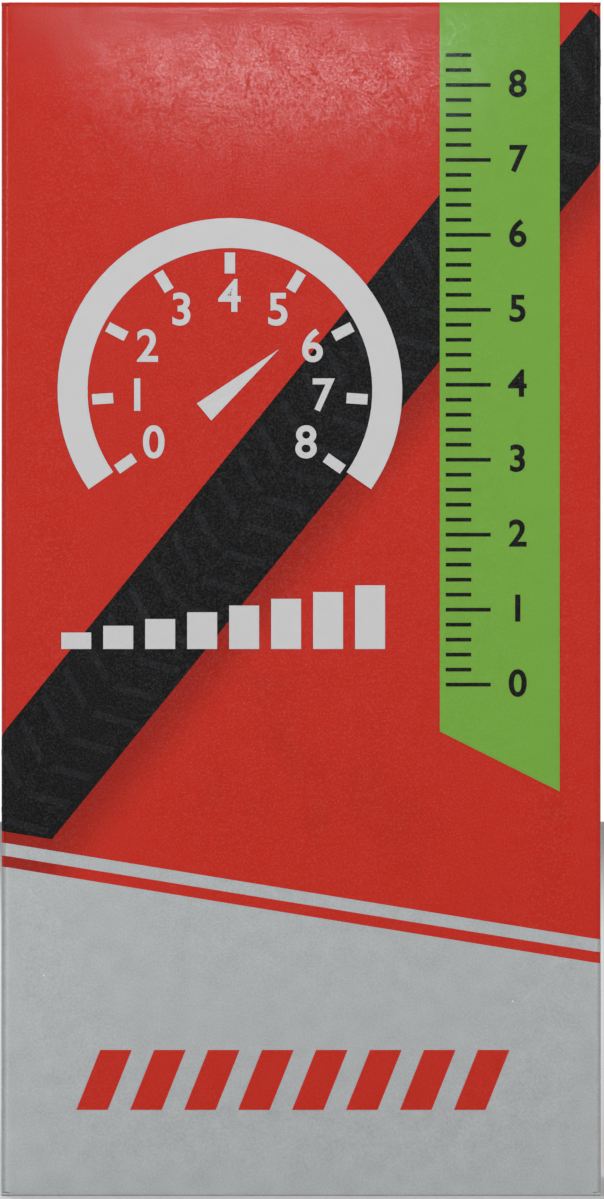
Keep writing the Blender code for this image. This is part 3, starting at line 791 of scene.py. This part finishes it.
def dust_flaps(end, up, inks):
    """The two dust flaps of one end: bare board with a printed skin over the crease."""
    front = JOINTS[f"{end}_lid_hinge"]["pos_m"][1] + DUST_FRONT_RELIEF
    rear = JOINTS[f"{end}_tuck_fold"]["pos_m"][1] - DUST_REAR_RELIEF
    bare = finishes(CUT_EDGE, GREY_BACK, CUT_EDGE)
    for side, sign in (("left", -1), ("right", 1)):
        node = f"{end}_dust_flap_{side}"
        joint = JOINTS[f"{node}_fold"]
        bm = flap_board(
            joint, (-sign, 0, 0), (0, 1, 0), (0, 0, up), DUST_FLAP_LENGTH,
            lambda s: front + DUST_FRONT_SLANT * s,
            lambda s: rear - DUST_REAR_SLANT * max(0.0, s - DUST_REAR_SHOULDER), corner=DUST_FLAP_CORNER)
        dress(f"{node}_board", bm, bare, node, "printed_board", node)
        crease_skin(
            f"{node}_crease", joint, (0, 1, 0), (front, rear),
            ("carton", (0, 0, -up), (sign, 0, 0)), (node, (-sign, 0, 0), (0, 0, up)), inks)


class BuildClosures(bpy.types.Operator):
    """Make the lid, tuck and dust flaps at the top and the base"""

    bl_idname = "boxed_tube.closures"
    bl_label = "Lids, tucks and dust flaps"

    def execute(self, context):
        edges = [RULER_LEFT * MM - WIDTH / 2, RULER_RIGHT * MM - WIDTH / 2]
        lid_and_tuck("top", 1, finishes(RED, GREEN), edges)
        lid_and_tuck("bottom", -1, finishes(SILVER), None)
        dust_flaps("top", 1, finishes(RED))
        dust_flaps("bottom", -1, finishes(SILVER))
        return {"FINISHED"}


# Print on the front


def front_point(u, v, lift, swell):
    """A spot printed at (u, v) mm on the front, which bows out and turns round the upright folds."""
    x, z = u * MM - WIDTH / 2, v * MM
    flat = WIDTH / 2 - FOLD_RADIUS
    past = abs(x) - flat
    if past > 0:
        angle = past / FOLD_RADIUS
        radius = FOLD_RADIUS + lift
        aside = math.copysign(flat + radius * math.sin(angle), x)
        return Vector((aside, FOLD_RADIUS - DEPTH / 2 - radius * math.cos(angle), z))
    inset = BOARD + HAIRLINE
    up = min(max((z - inset) / (HEIGHT - 2 * inset), 0), 1)
    return Vector((x, -DEPTH / 2 - lift - swell * crown((x / flat + 1) / 2) * crown(up), z))


def clipped(outline, clear_of_foot):
    """Cut a polygon to the front panel and its bleed, and above the foot's stripe if asked."""
    right, top = WIDTH / MM + BLEED, HEIGHT / MM - TOP_MARGIN
    lines = [((1, 0), -BLEED), ((-1, 0), -right), ((0, 1), TOP_MARGIN), ((0, -1), -top)]
    if clear_of_foot:
        fall = (FOOT_LEFT - FOOT_RIGHT) / (WIDTH / MM)
        lines.append(((fall, 1), FOOT_LEFT + 2 * STRIPE_GAP + STRIPE_WIDTH))
    for (across, up), limit in lines:
        kept = []
        for a, b in zip(outline, outline[1:] + outline[:1]):
            room_a = a[0] * across + a[1] * up - limit
            room_b = b[0] * across + b[1] * up - limit
            if room_a >= 0:
                kept.append(a)
            if (room_a >= 0) != (room_b >= 0):
                share = room_a / (room_a - room_b)
                kept.append((a[0] + (b[0] - a[0]) * share, a[1] + (b[1] - a[1]) * share))
        outline = kept
    return outline


def print_film(name, bm, level, ink):
    """Give flat shapes drawn in millimetres a film's thickness and lay them on the swelling front."""
    swell = bpy.context.scene.boxed_tube_carton.swell
    wide, tall, fold = WIDTH / MM, HEIGHT / MM, FOLD_RADIUS / MM
    turns = [fold - fold * math.pi / 2 * k / FOLD_STEPS for k in range(FOLD_STEPS)]
    columns = [*np.arange(INK_GRID, wide, INK_GRID), *turns, *(wide - u for u in turns)]
    for axis, cuts in ((0, columns), (1, np.arange(INK_GRID, tall, INK_GRID))):
        plane = Vector((0, 0, 0))
        plane[axis] = 1
        for cut in cuts:
            bmesh.ops.bisect_plane(
                bm, geom=bm.verts[:] + bm.edges[:] + bm.faces[:], plane_co=plane * cut, plane_no=plane)
    faces, rims = list(bm.faces), [edge for edge in bm.edges if edge.is_boundary]
    tops = {vert: bm.verts.new(vert.co + UP) for vert in list(bm.verts)}
    for face in faces:
        bm.faces.new([tops[vert] for vert in face.verts])
    for edge in rims:
        a, b = edge.verts
        bm.faces.new((a, b, tops[b], tops[a]))
    for vert in bm.verts:
        u, v, layer = vert.co
        vert.co = front_point(u, v, (level + layer) * INK, swell)
    dress(name, bm, finishes(ink), "carton", "printed_board")


def print_shapes(name, outlines, level, ink, clear_of_foot=False):
    """Print polygons, given in millimetres on the front."""
    bm = bmesh.new()
    for outline in outlines:
        shape = clipped(outline, clear_of_foot)
        if len(shape) > 2:
            bm.faces.new([bm.verts.new((u, v, 0)) for u, v in shape])
    print_film(name, bm, level, ink)


def print_numbers(name, marks, size_mm, level, ink):
    """Print plain numbers, each given as (text, across, up)."""
    bm = bmesh.new()
    for text, u, v in marks:
        curve = bpy.data.curves.new(name, "FONT")
        curve.body = text
        curve.size = size_mm
        curve.offset = NUMBER_WEIGHT * size_mm
        curve.align_x = "CENTER"
        curve.align_y = "CENTER"
        writing = bpy.data.objects.new(name, curve)
        bpy.context.scene.collection.objects.link(writing)
        bpy.context.view_layer.update()
        flat = bpy.data.meshes.new_from_object(writing.evaluated_get(bpy.context.evaluated_depsgraph_get()))
        flat.transform(Matrix.Translation((u, v, 0)))
        bm.from_mesh(flat)
        bpy.data.objects.remove(writing)
        bpy.data.meshes.remove(flat)
    bmesh.ops.remove_doubles(bm, verts=bm.verts, dist=INK_WELD)
    bmesh.ops.dissolve_degenerate(bm, edges=bm.edges, dist=INK_WELD)
    stray = [part for part in (*bm.edges, *bm.verts) if not part.link_faces]
    bmesh.ops.delete(bm, geom=stray, context="EDGES")
    print_film(name, bm, level, ink)


def sector(centre, inner, outer, start, end):
    """A piece of a ring, angles in degrees."""
    steps = round(abs(end - start) / ARC_STEP)
    return arc(centre, outer, start, end, steps) + arc(centre, inner, end, start, steps)


def bar(u, v, width, height, lean=0.0):
    """An upright bar whose top may lean to the right."""
    return [(u, v), (u + width, v), (u + width + lean, v + height), (u + lean, v + height)]


def print_track():
    """A straight tyre track from the lower left to the upper right, with chevron grooves."""
    start, along, across, length = track_axes()

    def spot(run, side):
        return tuple(start + along * run + across * side)

    half = TRACK_HALF_WIDTH
    band = [spot(0, -half), spot(length, -half), spot(length, half), spot(0, half)]
    print_shapes("track_band", [band], TRACK_LEVEL, BLACK, clear_of_foot=True)
    chevrons = []
    for k in range(int(length / TRACK_LUG_PITCH)):
        run = k * TRACK_LUG_PITCH
        for sign in (-1, 1):
            inner, outer = sign * GROOVE_INNER, sign * GROOVE_OUTER
            chevrons.append([
                spot(run, inner), spot(run + GROOVE_WIDTH, inner),
                spot(run + GROOVE_SWEEP + GROOVE_WIDTH, outer), spot(run + GROOVE_SWEEP, outer)])
    print_shapes("track_grooves", chevrons, GROOVE_LEVEL, GROOVE, clear_of_foot=True)


def print_dial():
    """A pressure dial: a bold arc, marks, plain numbers and a needle, over a row of rising bars."""
    first = 90 + DIAL_SWEEP / 2

    def spot(share, out, side=0.0):
        angle = math.radians(first - DIAL_SWEEP * share)
        aim = ray(angle).to_2d()
        return tuple(Vector(DIAL_CENTRE) + aim * out + Vector((-aim.y, aim.x)) * side)

    shapes = [sector(DIAL_CENTRE, DIAL_RADIUS - DIAL_ARC_WIDTH, DIAL_RADIUS, first, first - DIAL_SWEEP)]
    numbers = []
    inner, outer = DIAL_MARK_ENDS
    half = DIAL_MARK_HALF
    for k in range(DIAL_MARKS + 1):
        share = k / DIAL_MARKS
        corners = ((inner, -half), (outer, -half), (outer, half), (inner, half))
        shapes.append([spot(share, out, side) for out, side in corners])
        numbers.append((str(k), *spot(share, DIAL_NUMBER_RADIUS)))
    print_shapes("dial_arc", shapes, DIAL_LEVEL, WHITE)
    print_numbers("dial_numbers", numbers, DIAL_NUMBER_SIZE, DIAL_LEVEL, WHITE)
    corners = ((NEEDLE_TIP, 0.0), (-NEEDLE_TAIL, NEEDLE_HALF), (-NEEDLE_TAIL, -NEEDLE_HALF))
    needle = [spot(NEEDLE_SHARE, out, side) for out, side in corners]
    print_shapes("dial_needle", [needle], DIAL_LEVEL, WHITE)
    left, foot = LEVEL_START
    steps = [
        bar(left + LEVEL_PITCH * k, foot, LEVEL_WIDTH, LEVEL_LOWEST + LEVEL_RISE * k)
        for k in range(LEVELS)]
    print_shapes("level_steps", steps, DIAL_LEVEL, WHITE)


def print_ruler():
    """A green panel with a ruler's marks and plain numbers."""
    top = HEIGHT / MM
    panel = [
        (RULER_LEFT, RULER_FOOT), (RULER_RIGHT, RULER_FOOT - RULER_SLANT), (RULER_RIGHT, top),
        (RULER_LEFT, top)]
    print_shapes("ruler_panel", [panel], DIAL_LEVEL, GREEN)
    marks, numbers = [], []
    for k in range(RULER_MARKS):
        up = RULER_ZERO + RULER_PITCH * k
        long = k % 5 == 0
        marks.append(bar(RULER_LEFT + RULER_INSET, up, RULER_LONG if long else RULER_SHORT, RULER_LINE))
        if long:
            numbers.append((str(k // 5), RULER_LEFT + RULER_NUMBERS, up + RULER_LINE / 2))
    print_shapes("ruler_marks", marks, MARK_LEVEL, BLACK)
    print_numbers("ruler_numbers", numbers, RULER_NUMBER_SIZE, MARK_LEVEL, BLACK)


class PrintFront(bpy.types.Operator):
    """Print the front: tyre track, pressure dial, ruler panel and bars"""

    bl_idname = "boxed_tube.front"
    bl_label = "Front print"

    def execute(self, context):
        print_track()
        print_dial()
        print_ruler()
        bars = [bar(BAR_START[0] + BAR_PITCH * k, BAR_START[1], *BAR_SIZE, BAR_LEAN) for k in range(BARS)]
        print_shapes("foot_bars", bars, BAR_LEVEL, RED)
        return {"FINISHED"}


# Tube and valve


def tube_path(steps=10):
    """Middle line of the flat tube in (y, z), read off the solid's box: an arch, then to and fro."""
    low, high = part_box("tube_body")
    pitch = (high.y - low.y - TUBE_THICKNESS) / (TUBE_LAYERS - 1)
    ys = [low.y + TUBE_THICKNESS / 2 + pitch * k for k in range(TUBE_LAYERS)]
    fold = pitch / 2
    shoulder = high.z - TUBE_THICKNESS / 2 - ARCH_SHOULDER
    low_z = low.z + TUBE_THICKNESS / 2 + fold
    path = arc((ys[0] + ARCH_SHOULDER, shoulder), ARCH_SHOULDER, 180, 90, steps)
    path += arc((ys[-1] - ARCH_SHOULDER, shoulder), ARCH_SHOULDER, 90, 0, steps)
    for turn in range(TUBE_LAYERS - 1):
        middle = (ys[TUBE_LAYERS - 1 - turn] + ys[TUBE_LAYERS - 2 - turn]) / 2
        centre_z, half_turn = (low_z, -180) if turn % 2 == 0 else (shoulder - fold, 180)
        path += arc((middle, centre_z), fold, 0, half_turn, steps)
    return path


def tube_section(width):
    """Half-flat tube: round beads at both edges, thinner between, a mould line along each face."""
    bead = TUBE_THICKNESS / 2
    half = width / 2 - bead
    upper = []
    for x in (-0.85, -0.55, -0.25, -0.02, 0.0, 0.02, 0.25, 0.55, 0.85):
        thick = bead * (TUBE_WAIST + (1 - TUBE_WAIST) * abs(x))
        upper.append((half * x, thick if x else thick + MOULD_LINE))
    lower = [(-x, -n) for x, n in upper]
    return arc((half, 0), bead, -90, 90, 6) + upper[::-1] + arc((-half, 0), bead, 90, 270, 6) + lower[::-1]


def wrap_band(looks):
    """A cut latex band, its edges slightly wavy and its corners drawn round the bundle."""
    low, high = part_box("rubber_band")
    middle = (low + high) / 2
    corner = TUBE_THICKNESS / 2 + BOARD_GAP + BAND_THICKNESS / 2
    centre_x = (high.x - low.x - BAND_THICKNESS) / 2 - corner
    centre_y = (high.y - low.y - BAND_THICKNESS) / 2 - corner
    outline = []
    for i, (across, back) in enumerate(((1, 1), (-1, 1), (-1, -1), (1, -1))):
        outline += arc((across * centre_x, back * centre_y), corner, 90 * i, 90 * i + 90, CURVE_STEPS)
    side, flat = BAND_THICKNESS / 2, BAND_THICKNESS / 4
    rim = (high.z - low.z) / 2
    edge = rim - BAND_BEVEL
    section = [
        (-side, -edge), (-flat, -rim), (flat, -rim), (side, -edge),
        (side, edge), (flat, rim), (-flat, rim), (-side, edge)]
    rings = []
    for point, along in walk(outline, BAND_STEP):
        out = Vector((along.y, -along.x))
        ripple = Vector((point.x * BAND_WAVES_PER_METRE, point.y * BAND_WAVES_PER_METRE, 0.5))
        wave = noise.noise(ripple) * BAND_WAVE
        rings.append([
            middle + Vector((point.x + out.x * n, point.y + out.y * n, z + wave)) for n, z in section])
    latex = dusted_rubber(
        "cut latex band", looks.band, linear("#D2B58C"), cover=0.5, grain_mm=0.6, roughness=0.6)
    dress("latex_band", ring_mesh(rings), [latex], "tube", "latex_band", "rubber_band")


class BuildTube(bpy.types.Operator):
    """Fold the tube into its bundle and put the elastic band round it"""

    bl_idname = "boxed_tube.tube"
    bl_label = "Folded tube and band"

    def execute(self, context):
        looks = context.scene.boxed_tube_tube
        low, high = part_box("tube_body")
        section = tube_section(high.x - low.x)
        rings = []
        for point, along in walk(tube_path(), TUBE_STEP):
            out = Vector((0, -along.y, along.x))
            ring = []
            for x, n in section:
                spot = Vector((x, point.x, point.y)) + out * n
                drift = noise.noise(spot * Vector(WRINKLES_PER_METRE)) * looks.wrinkle
                ring.append(spot + out * drift)
            rings.append(ring)
        butyl = dusted_rubber(
            "talc-dusted butyl rubber", looks.rubber, looks.talc, cover=0.55, grain_mm=0.5, roughness=0.72)
        dress("folded_tube", ring_mesh(rings), [butyl], "tube", "butyl_rubber", "tube_body", sharp=60.0)
        wrap_band(looks)
        return {"FINISHED"}


def axis_foot(node):
    """Foot of a round solid's axis."""
    low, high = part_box(node)
    return Vector(((low.x + high.x) / 2, (low.y + high.y) / 2, low.z))


def round_size(node):
    """Radius and height of a round solid, in millimetres."""
    low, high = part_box(node)
    return (high.x - low.x) / 2 / MM, (high.z - low.z) / MM


def valve_patch(rubber, sides=96):
    """The vulcanised oval patch: a bevelled rim and a low moulded ring round a sunken middle."""
    low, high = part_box("valve_patch")
    half_x, half_y, thick = (high.x - low.x) / 2, (high.y - low.y) / 2, high.z - low.z
    sunken = 0.75
    rim_steps = ((1.0, 0.0), (1.0, 0.25), (0.97, 0.45), (0.9, 0.7))
    ring_steps = ((0.87, 1.0), (0.83, 1.0), (0.81, sunken))
    centre = axis_foot("valve_patch")
    rings = []
    for i in range(sides):
        out = ray(2 * math.pi * i / sides)
        rim = Vector((half_x * out.x, half_y * out.y, 0))
        hole = centre + out * VALVE_HOLE * MM
        ring = [hole]
        for share, level in rim_steps + ring_steps:
            ring.append(centre + rim * share + UP * thick * level)
        ring.append(hole + UP * thick * sunken)
        rings.append(ring)
    dress("patch_rubber", ring_mesh(rings), [rubber], "tube", "valve_rubber", "valve_patch")


def valve_foot(rubber):
    """Moulded foot and sleeve, with a filleted neck, a lip and two parting lines."""
    rim, tall = round_size("valve_rubber")
    neck, fillet, top, bore, floor = 4.75, 3.2, 4.5, 3.3, 3.7
    lip = top + 0.25
    seam_share, seam_height = 0.06, 0.1
    profile = [(VALVE_HOLE, 0), (rim - 0.3, 0), (rim, 0.3), (rim, 0.9), (rim - 0.4, 1.3)]
    profile += arc((neck + fillet, 5.2), fillet, 262, 180, 10)
    profile += [
        (neck - 0.1, tall / 2), (top, tall - 2.6), (lip, tall - 2.2), (lip, tall - 0.9),
        (top - 0.1, tall - 0.3), (top - 0.5, tall), (bore, tall), (bore, floor), (VALVE_HOLE, floor)]

    def parting(angle, radius, height):
        seam = abs(math.sin(angle)) < seam_share
        return radius + (seam_height if seam and radius > bore + 0.2 and height > 0 else 0.0)

    bm = turned(profile, axis_foot("valve_rubber"), sides=96, ridge=parting)
    dress("valve_foot", bm, [rubber], "tube", "valve_rubber", "valve_rubber")


def valve_stem(nickel):
    """Plated stem with a rolled thread of its real pitch, and the bore that holds the core."""
    radius, tall = round_size("valve_stem")
    shank, mouth, chamber, throat = 3.0, 2.9, 2.65, 2.2
    shoulder = tall - THREAD_LENGTH
    thread_low, thread_high = shoulder + 0.7, tall - 0.6
    step = THREAD_PITCH / 6
    rows = int((THREAD_LENGTH - 1.6) / step)
    profile = [
        (VALVE_HOLE, 0), (shank, 0), (shank, shoulder), (radius - 0.3, shoulder),
        (radius, shoulder + 0.3)]
    profile += [(radius, shoulder + 0.8 + step * k) for k in range(rows)]
    profile += [
        (radius - 0.15, tall - 0.5), (radius - 0.6, tall), (mouth, tall), (chamber, tall - 0.3),
        (chamber, tall - 7.0), (throat, tall - 8.2), (throat, tall - 16.9), (VALVE_HOLE, tall - 17.2)]

    def thread(angle, far, height):
        if far < radius - 0.05 or not thread_low < height < thread_high:
            return far
        phase = (height / THREAD_PITCH - angle / (2 * math.pi)) % 1
        ends = min(1.0, (height - thread_low) / THREAD_PITCH, (thread_high - height) / THREAD_PITCH)
        return far - THREAD_DEPTH * abs(2 * phase - 1) * ends

    bm = turned(profile, axis_foot("valve_stem"), sides=48, ridge=thread)
    dress("stem_thread", bm, [nickel], "tube", "nickelled_brass", "valve_stem", sharp=50.0)


def valve_spring(steel, steps=24):
    """The core's round-wire spring."""
    low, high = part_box("core_spring")
    mean = (high.x - low.x) / 2 - SPRING_WIRE
    rise = high.z - low.z - 2 * SPRING_WIRE
    foot = axis_foot("core_spring")
    wire = arc((0, 0), SPRING_WIRE, 0, 324, 9)
    count = SPRING_TURNS * steps
    middles, rings = [], []
    for i in range(count + 1):
        out = ray(2 * math.pi * i / steps)
        middle = foot + out * mean + UP * (SPRING_WIRE + rise * i / count)
        middles.append(middle)
        rings.append([middle + out * a + UP * b for a, b in wire])
    rings = [middles[:1] * len(wire), *rings, middles[-1:] * len(wire)]
    piece = dress(
        "spring_wire", ring_mesh(rings, row_closed=False), [steel], "tube", "spring_steel", "core_spring")
    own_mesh(piece)


def valve_cap(plastic):
    """Screw cap with rounded finger ribs, a plain collar and a dished top."""
    _, tall = round_size("valve_cap")
    bore, plain, ceiling = 4.15, 5.2, tall - 1.5
    ribs, rib_height, rib_run_out, rib_roundness = 18, 0.3, 0.6, 0.6
    rib_low, rib_high = 1.4, tall - 2.1
    profile = [
        (0, ceiling), (bore, ceiling), (bore, 0.3), (bore + 0.3, 0), (plain - 0.2, 0), (plain, 0.2),
        (plain, 1.0), (plain, 1.5)]
    profile += [(plain, 2.0 + (tall - 4.6) * k / 4) for k in range(5)]
    profile += [(plain, tall - 2.0), (plain - 0.1, tall - 1.2)]
    profile += arc((plain - 1.1, tall - 1.0), 1.0, 0, 90, 6)
    profile += [(plain - 1.8, tall), (plain - 2.2, tall - 0.25), (0, tall - 0.35)]

    def ribbed(angle, radius, height):
        if radius < plain - 0.01 or not rib_low < height < rib_high:
            return radius
        ends = min(1.0, (height - rib_low) / rib_run_out, (rib_high - height) / rib_run_out)
        return radius + rib_height * ends * max(0.0, math.cos(ribs * angle)) ** rib_roundness

    bm = turned(profile, axis_foot("valve_cap"), sides=144, ridge=ribbed, on_axis=True)
    dress("ribbed_cap", bm, [plastic], "valve_cap", "cap_plastic", "valve_cap")


class BuildValve(bpy.types.Operator):
    """Make the valve: moulded foot, threaded stem, core and ribbed cap"""

    bl_idname = "boxed_tube.valve"
    bl_label = "Valve and cap"

    def execute(self, context):
        talc = context.scene.boxed_tube_tube.talc
        rubber = dusted_rubber(
            "moulded valve rubber", linear("#242426"), talc, cover=0.25, grain_mm=0.35, roughness=0.55)
        nickel = plated_metal(
            "nickel plate on turned brass", linear("#CFC9BD"), roughness=0.24, streak_mm=0.12)
        steel = plated_metal("bright spring steel", linear("#B9B9BB"), roughness=0.3, streak_mm=0.1)
        plastic = moulded_plastic(
            "moulded black polypropylene", linear("#232325"), roughness=0.42, grain_mm=0.25)
        gasket = moulded_plastic("white gasket plastic", linear("#DEDCD6"), roughness=0.5, grain_mm=0.3)
        valve_patch(rubber)
        valve_foot(rubber)
        valve_stem(nickel)
        valve_cap(plastic)
        valve_spring(steel)
        for node, finish in (
                ("core_barrel", nickel), ("core_gasket", gasket), ("core_pin", steel), ("core_seal", rubber),
                ("cap_seal", rubber)):
            slots = frame["nodes"][node].data.materials
            slots.clear()
            slots.append(finish)
        return {"FINISHED"}


# Stage

# The photograph's size, and the front's edges in it, in pixels
IMAGE = (604, 1199)
FACE_LEFT, FACE_RIGHT, FACE_TOP, FACE_BOTTOM = 1.4, 600.8, 2.3, 1196.0
FRONT_SHARE = 0.82  # of the rear softbox's power


def lay_floor():
    """Matt white paint: one even tone that keeps the object's shadow."""
    bm = bmesh.new()
    bmesh.ops.create_grid(bm, x_segments=8, y_segments=8, size=2.0)
    made, tree, shader, place = start_finish("matt white studio floor")
    cloud = add(tree, "TexNoise", {"Vector": place, "Scale": repeats(FLOOR_CLOUD)})
    tone = add(tree, "MapRange", {"Value": cloud, "To Min": 0.8, "To Max": 0.84})
    feed(tree, shader, {"Base Color": tone, "Roughness": 0.9})
    make_piece("studio_floor", bm, [made])


def light_world(looks):
    """White where the camera, a reflection or clear material sees it, and dim as a light."""
    world = bpy.data.worlds.new("even studio light")
    bpy.context.scene.world = world
    world.use_nodes = True
    tree = world.node_tree
    path = add(tree, "LightPath")
    seen = path.outputs["Is Camera Ray"]
    for kind in ("Is Glossy Ray", "Is Transmission Ray"):
        seen = add(tree, "Math", {0: seen, 1: path.outputs[kind]}, operation="MAXIMUM")
    strength = add(tree, "Mix", {0: seen, 2: looks.ambient, 3: 1.0}, data_type="FLOAT")
    feed(tree, tree.nodes["Background"], {"Strength": strength, "Color": (1, 1, 1, 1)})


def place_lights(looks):
    """Two soft lights in front, one behind, and a small cool lamp that only reflections show."""
    middle = Vector((0, 0, HEIGHT / 2))
    front = looks.softbox * FRONT_SHARE
    for name, spot, size, tint, power in (
            ("right_softbox", (0.8, -0.9, 0.5), (0.6, 0.6), "#FFFFFF", front),
            ("left_softbox", (-0.6, -1.0, 0.4), (0.6, 0.6), "#FFFFFF", front),
            ("rear_softbox", (-0.3, 1.0, 0.9), (0.8, 0.8), "#FFFFFF", looks.softbox),
            ("glare_lamp", (-0.0085, -0.92, 0.227), (0.1, 0.016), "#DAF2FF", looks.glare)):
        lamp = bpy.data.lights.new(name, "AREA")
        lamp.energy = power
        lamp.color = linear(tint)
        lamp.shape = "ELLIPSE"
        lamp.size, lamp.size_y = size
        made = bpy.data.objects.new(name, lamp)
        made.location = spot
        made.visible_diffuse = name != "glare_lamp"
        made.rotation_euler = (middle - Vector(spot)).to_track_quat("-Z", "Y").to_euler()
        bpy.context.scene.collection.objects.link(made)


def place_camera(looks):
    """Frame the front as the photograph does, by its four edges."""
    per_pixel = HEIGHT / (FACE_BOTTOM - FACE_TOP)
    aside = (IMAGE[0] / 2 - (FACE_LEFT + FACE_RIGHT) / 2) * per_pixel
    up = ((FACE_TOP + FACE_BOTTOM) / 2 - IMAGE[1] / 2) * per_pixel
    lens = bpy.data.cameras.new("front_camera")
    lens.sensor_fit = "VERTICAL"
    lens.sensor_height = 24.0
    lens.lens = lens.sensor_height * looks.distance / (IMAGE[1] * per_pixel)
    lens.clip_end = 20
    made = bpy.data.objects.new("front_camera", lens)
    made.location = (aside, -DEPTH / 2 - looks.distance, HEIGHT / 2 + up)
    made.rotation_euler = (math.pi / 2, 0, 0)
    bpy.context.scene.collection.objects.link(made)
    bpy.context.scene.camera = made


class BuildStage(bpy.types.Operator):
    """Set the floor, the soft lights and a camera square on to the front"""

    bl_idname = "boxed_tube.stage"
    bl_label = "Stage, lights and camera"

    def execute(self, context):
        looks = context.scene.boxed_tube_stage
        lay_floor()
        light_world(looks)
        place_lights(looks)
        place_camera(looks)
        context.scene.view_settings.view_transform = "Standard"
        return {"FINISHED"}


class BoxedTubePanel(bpy.types.Panel):
    """Sidebar panel that lists the builders and their values"""

    bl_idname = "VIEW3D_PT_boxed_tube"
    bl_label = "Boxed tube"
    bl_space_type = "VIEW_3D"
    bl_region_type = "UI"
    bl_category = "Boxed tube"

    def draw(self, context):
        for builder in BUILDERS:
            self.layout.operator(builder.bl_idname)
        for name, group in GROUPS.items():
            box = self.layout.box()
            for key in group.__annotations__:
                box.prop(getattr(context.scene, name), key)


BUILDERS = (BuildStage, BuildSleeve, BuildClosures, PrintFront, BuildTube, BuildValve)
GROUPS = {"boxed_tube_carton": CartonLooks, "boxed_tube_tube": TubeLooks, "boxed_tube_stage": StageLooks}
CLASSES = (*GROUPS.values(), *BUILDERS, BoxedTubePanel)


def register():
    for made in CLASSES:
        bpy.utils.register_class(made)
    for name, group in GROUPS.items():
        setattr(bpy.types.Scene, name, PointerProperty(type=group))


def unregister():
    for name in GROUPS:
        delattr(bpy.types.Scene, name)
    for made in reversed(CLASSES):
        bpy.utils.unregister_class(made)


def main():
    register()
    bpy.ops.boxed_tube.stage()
    bpy.ops.boxed_tube.sleeve()
    bpy.ops.boxed_tube.closures()
    bpy.ops.boxed_tube.front()
    bpy.ops.boxed_tube.tube()
    bpy.ops.boxed_tube.valve()


if __name__ == "__main__":
    main()
